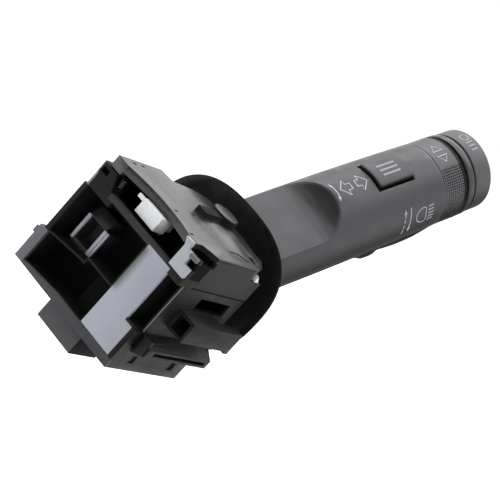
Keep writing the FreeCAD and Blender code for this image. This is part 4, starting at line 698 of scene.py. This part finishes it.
# Springs hidden in the lever, the ledge low on the handle and the wedge below the cover
def make_coil(name, node, start, axis, length, radius, wire, turns):
    """Coil spring in metres along its axis."""
    steps, around = turns * 20, 8
    sideways = axis.orthogonal().normalized()
    upwards = axis.cross(sideways)
    build = bmesh.new()
    loops = []
    for i in range(steps + 1):
        turn = 2 * math.pi * turns * i / steps
        outwards = sideways * math.cos(turn) + upwards * math.sin(turn)
        middle = start + axis * (wire + (length - 2 * wire) * i / steps) + outwards * (radius - wire)
        loop = []
        for k in range(around):
            angle = 2 * math.pi * k / around
            point = middle + (outwards * math.cos(angle) + axis * math.sin(angle)) * wire
            loop.append(build.verts.new(point))
        loops.append(loop)
    bridge(build, loops)
    build.faces.new(loops[0])
    build.faces.new(loops[-1])
    mesh = to_mesh(build, name)
    mesh.shade_smooth()
    piece = new_piece(name, mesh, "steel", "lever")
    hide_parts(node)
    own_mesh(piece)


def make_hidden_springs():
    """Springs of the detent plunger and of the end cap."""
    low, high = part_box("plunger_spring")
    start = Vector((low[0], (low[1] + high[1]) / 2, (low[2] + high[2]) / 2))
    make_coil(
        "plunger_coil", "plunger_spring", start, Vector((1, 0, 0)),
        length=high[0] - low[0], radius=(high[1] - low[1]) / 2, wire=0.3 * MM, turns=5,
    )
    make_coil(
        "cap_coil", "end_spring", lever(0, 0, 100.0), OUT,
        length=20.6 * MM, radius=4.0 * MM, wire=0.35 * MM, turns=8,
    )


def make_grip_ledge():
    """Narrow moulded ledge low on the handle's side; it dips once and fades out to the ring."""
    # Each station is s and how far the ledge stands proud there
    stations = (
        (61.5, 0.02), (62.5, 0.5), (64.0, 1.25), (66.5, 1.35), (69.0, 1.15), (70.5, 0.55),
        (72.0, 0.5), (75.0, 0.8), (79.0, 1.05), (83.0, 1.1), (88.0, 1.0), (92.0, 0.65),
        (95.5, 0.25), (97.0, 0.02),
    )
    # Angle in degrees and share of that height; a negative share is a depth in millimetres
    section = ((117, -0.3), (119, 0.55), (122, 0.95), (127, 1.0), (133, 0.7), (139, -0.3))
    build = bmesh.new()
    loops = []
    for s, proud in stations:
        loop = []
        for degrees, share in section:
            radius = handle_radius(s) + (proud * share if share > 0 else share)
            loop.append(build.verts.new(round_lever(radius, math.radians(degrees), s)))
        loops.append(loop)
    bridge(build, loops)
    build.faces.new(loops[0])
    build.faces.new(loops[-1])
    piece = new_piece("grip_ledge", smooth_mesh(build, "grip_ledge", 60), "grip_plastic", "lever")


def make_slider_tab():
    """Small pale wedge that looks out of the side notch below the cover."""
    front, back = 24.1, 22.0
    corners = ((-40.0, 5.4), (-37.4, 5.4), (-37.4, 7.8))
    build = bmesh.new()
    loops = []
    for y in (front, back):
        loops.append([build.verts.new(Vector((x, y, z)) * MM) for x, z in corners])
    for loop in loops:
        build.faces.new(loop)
    bridge(build, loops)
    new_piece("slider_tab", to_mesh(build, "slider_tab"), "white_plastic", "housing")


make_scroll_ring()
make_cap()
make_menu_key()
make_hidden_springs()
make_grip_ledge()
make_slider_tab()


# Floor, world, lights and camera
def make_floor():
    """Wide plain floor below the part, in metres."""
    half, level = 12.0, -0.16
    corners = [(-half, -half), (half, -half), (half, half), (-half, half)]
    mesh = bpy.data.meshes.new("floor")
    mesh.from_pydata([(x, y, level) for x, y in corners], [], [(0, 1, 2, 3)])
    floor = bpy.data.objects.new("floor", mesh)
    bpy.context.scene.collection.objects.link(floor)
    material, tree, shader = new_material("floor_white")
    tone = ramp(tree, noise(tree, 40), grey(0.90), grey(0.93))
    tree.links.new(tone, shader.inputs["Base Color"])
    shader.inputs["Roughness"].default_value = 0.9
    shader.inputs["Emission Color"].default_value = grey(1.0)
    shader.inputs["Emission Strength"].default_value = 0.12
    floor.data.materials.append(material)


def make_world():
    """White tent, dimmer on the side the picture is taken from."""
    towards_camera = (0.93, 0.36, 0.0)
    bright, dimmest, faded = 1.25, 0.06, 0.85
    world = bpy.data.worlds.new("studio")
    bpy.context.scene.world = world
    world.use_nodes = True
    tree = world.node_tree
    coords = tree.nodes.new("ShaderNodeTexCoord")
    dot = tree.nodes.new("ShaderNodeVectorMath")
    dot.operation = "DOT_PRODUCT"
    dot.inputs[1].default_value = towards_camera
    tree.links.new(coords.outputs["Generated"], dot.inputs[0])
    dim = tree.nodes.new("ShaderNodeMapRange")
    dim.interpolation_type = "SMOOTHSTEP"
    dim.inputs["From Min"].default_value = 0.0
    dim.inputs["From Max"].default_value = faded
    dim.inputs["To Min"].default_value = bright
    dim.inputs["To Max"].default_value = dimmest
    tree.links.new(dot.outputs["Value"], dim.inputs["Value"])
    back = tree.nodes["Background"]
    back.inputs["Color"].default_value = grey(1.0)
    tree.links.new(dim.outputs["Result"], back.inputs["Strength"])


def make_light(name, position, target, size, power):
    """Square area light, placed and sized in metres, that faces its target."""
    data = bpy.data.lights.new(name, "AREA")
    data.shape = "RECTANGLE"
    data.size = size
    data.size_y = size
    data.energy = power
    light = bpy.data.objects.new(name, data)
    bpy.context.scene.collection.objects.link(light)
    light.location = position
    direction = Vector(target) - Vector(position)
    light.rotation_euler = direction.to_track_quat("-Z", "Y").to_euler()


def make_camera():
    """Camera as solved from the photograph's circles and straight edges."""
    sensor_width, focal_length = 36, 136.8
    place = Vector((476.4, 271.7, 150.4)) * MM
    right = Vector((-0.472, 0.5914, 0.6539)).normalized()
    forward = Vector((-0.8698, -0.4336, -0.2356)).normalized()
    up = right.cross(forward).normalized()
    right = forward.cross(up).normalized()
    data = bpy.data.cameras.new("camera")
    data.sensor_width = sensor_width
    data.lens = focal_length
    data.clip_start = 0.01
    camera = bpy.data.objects.new("camera", data)
    bpy.context.scene.collection.objects.link(camera)
    turn = Matrix((right, up, -forward)).transposed().to_4x4()
    camera.matrix_world = Matrix.Translation(place) @ turn
    bpy.context.scene.camera = camera


make_floor()
make_world()
make_light("key", (-0.25, -0.30, 0.80), (-0.06, 0, 0), 1.2, 8.5)
make_light("side", (0.55, 0.35, 0.45), (-0.05, 0, 0), 0.5, 1.5)
make_camera()
bpy.context.scene.view_settings.view_transform = "Standard"
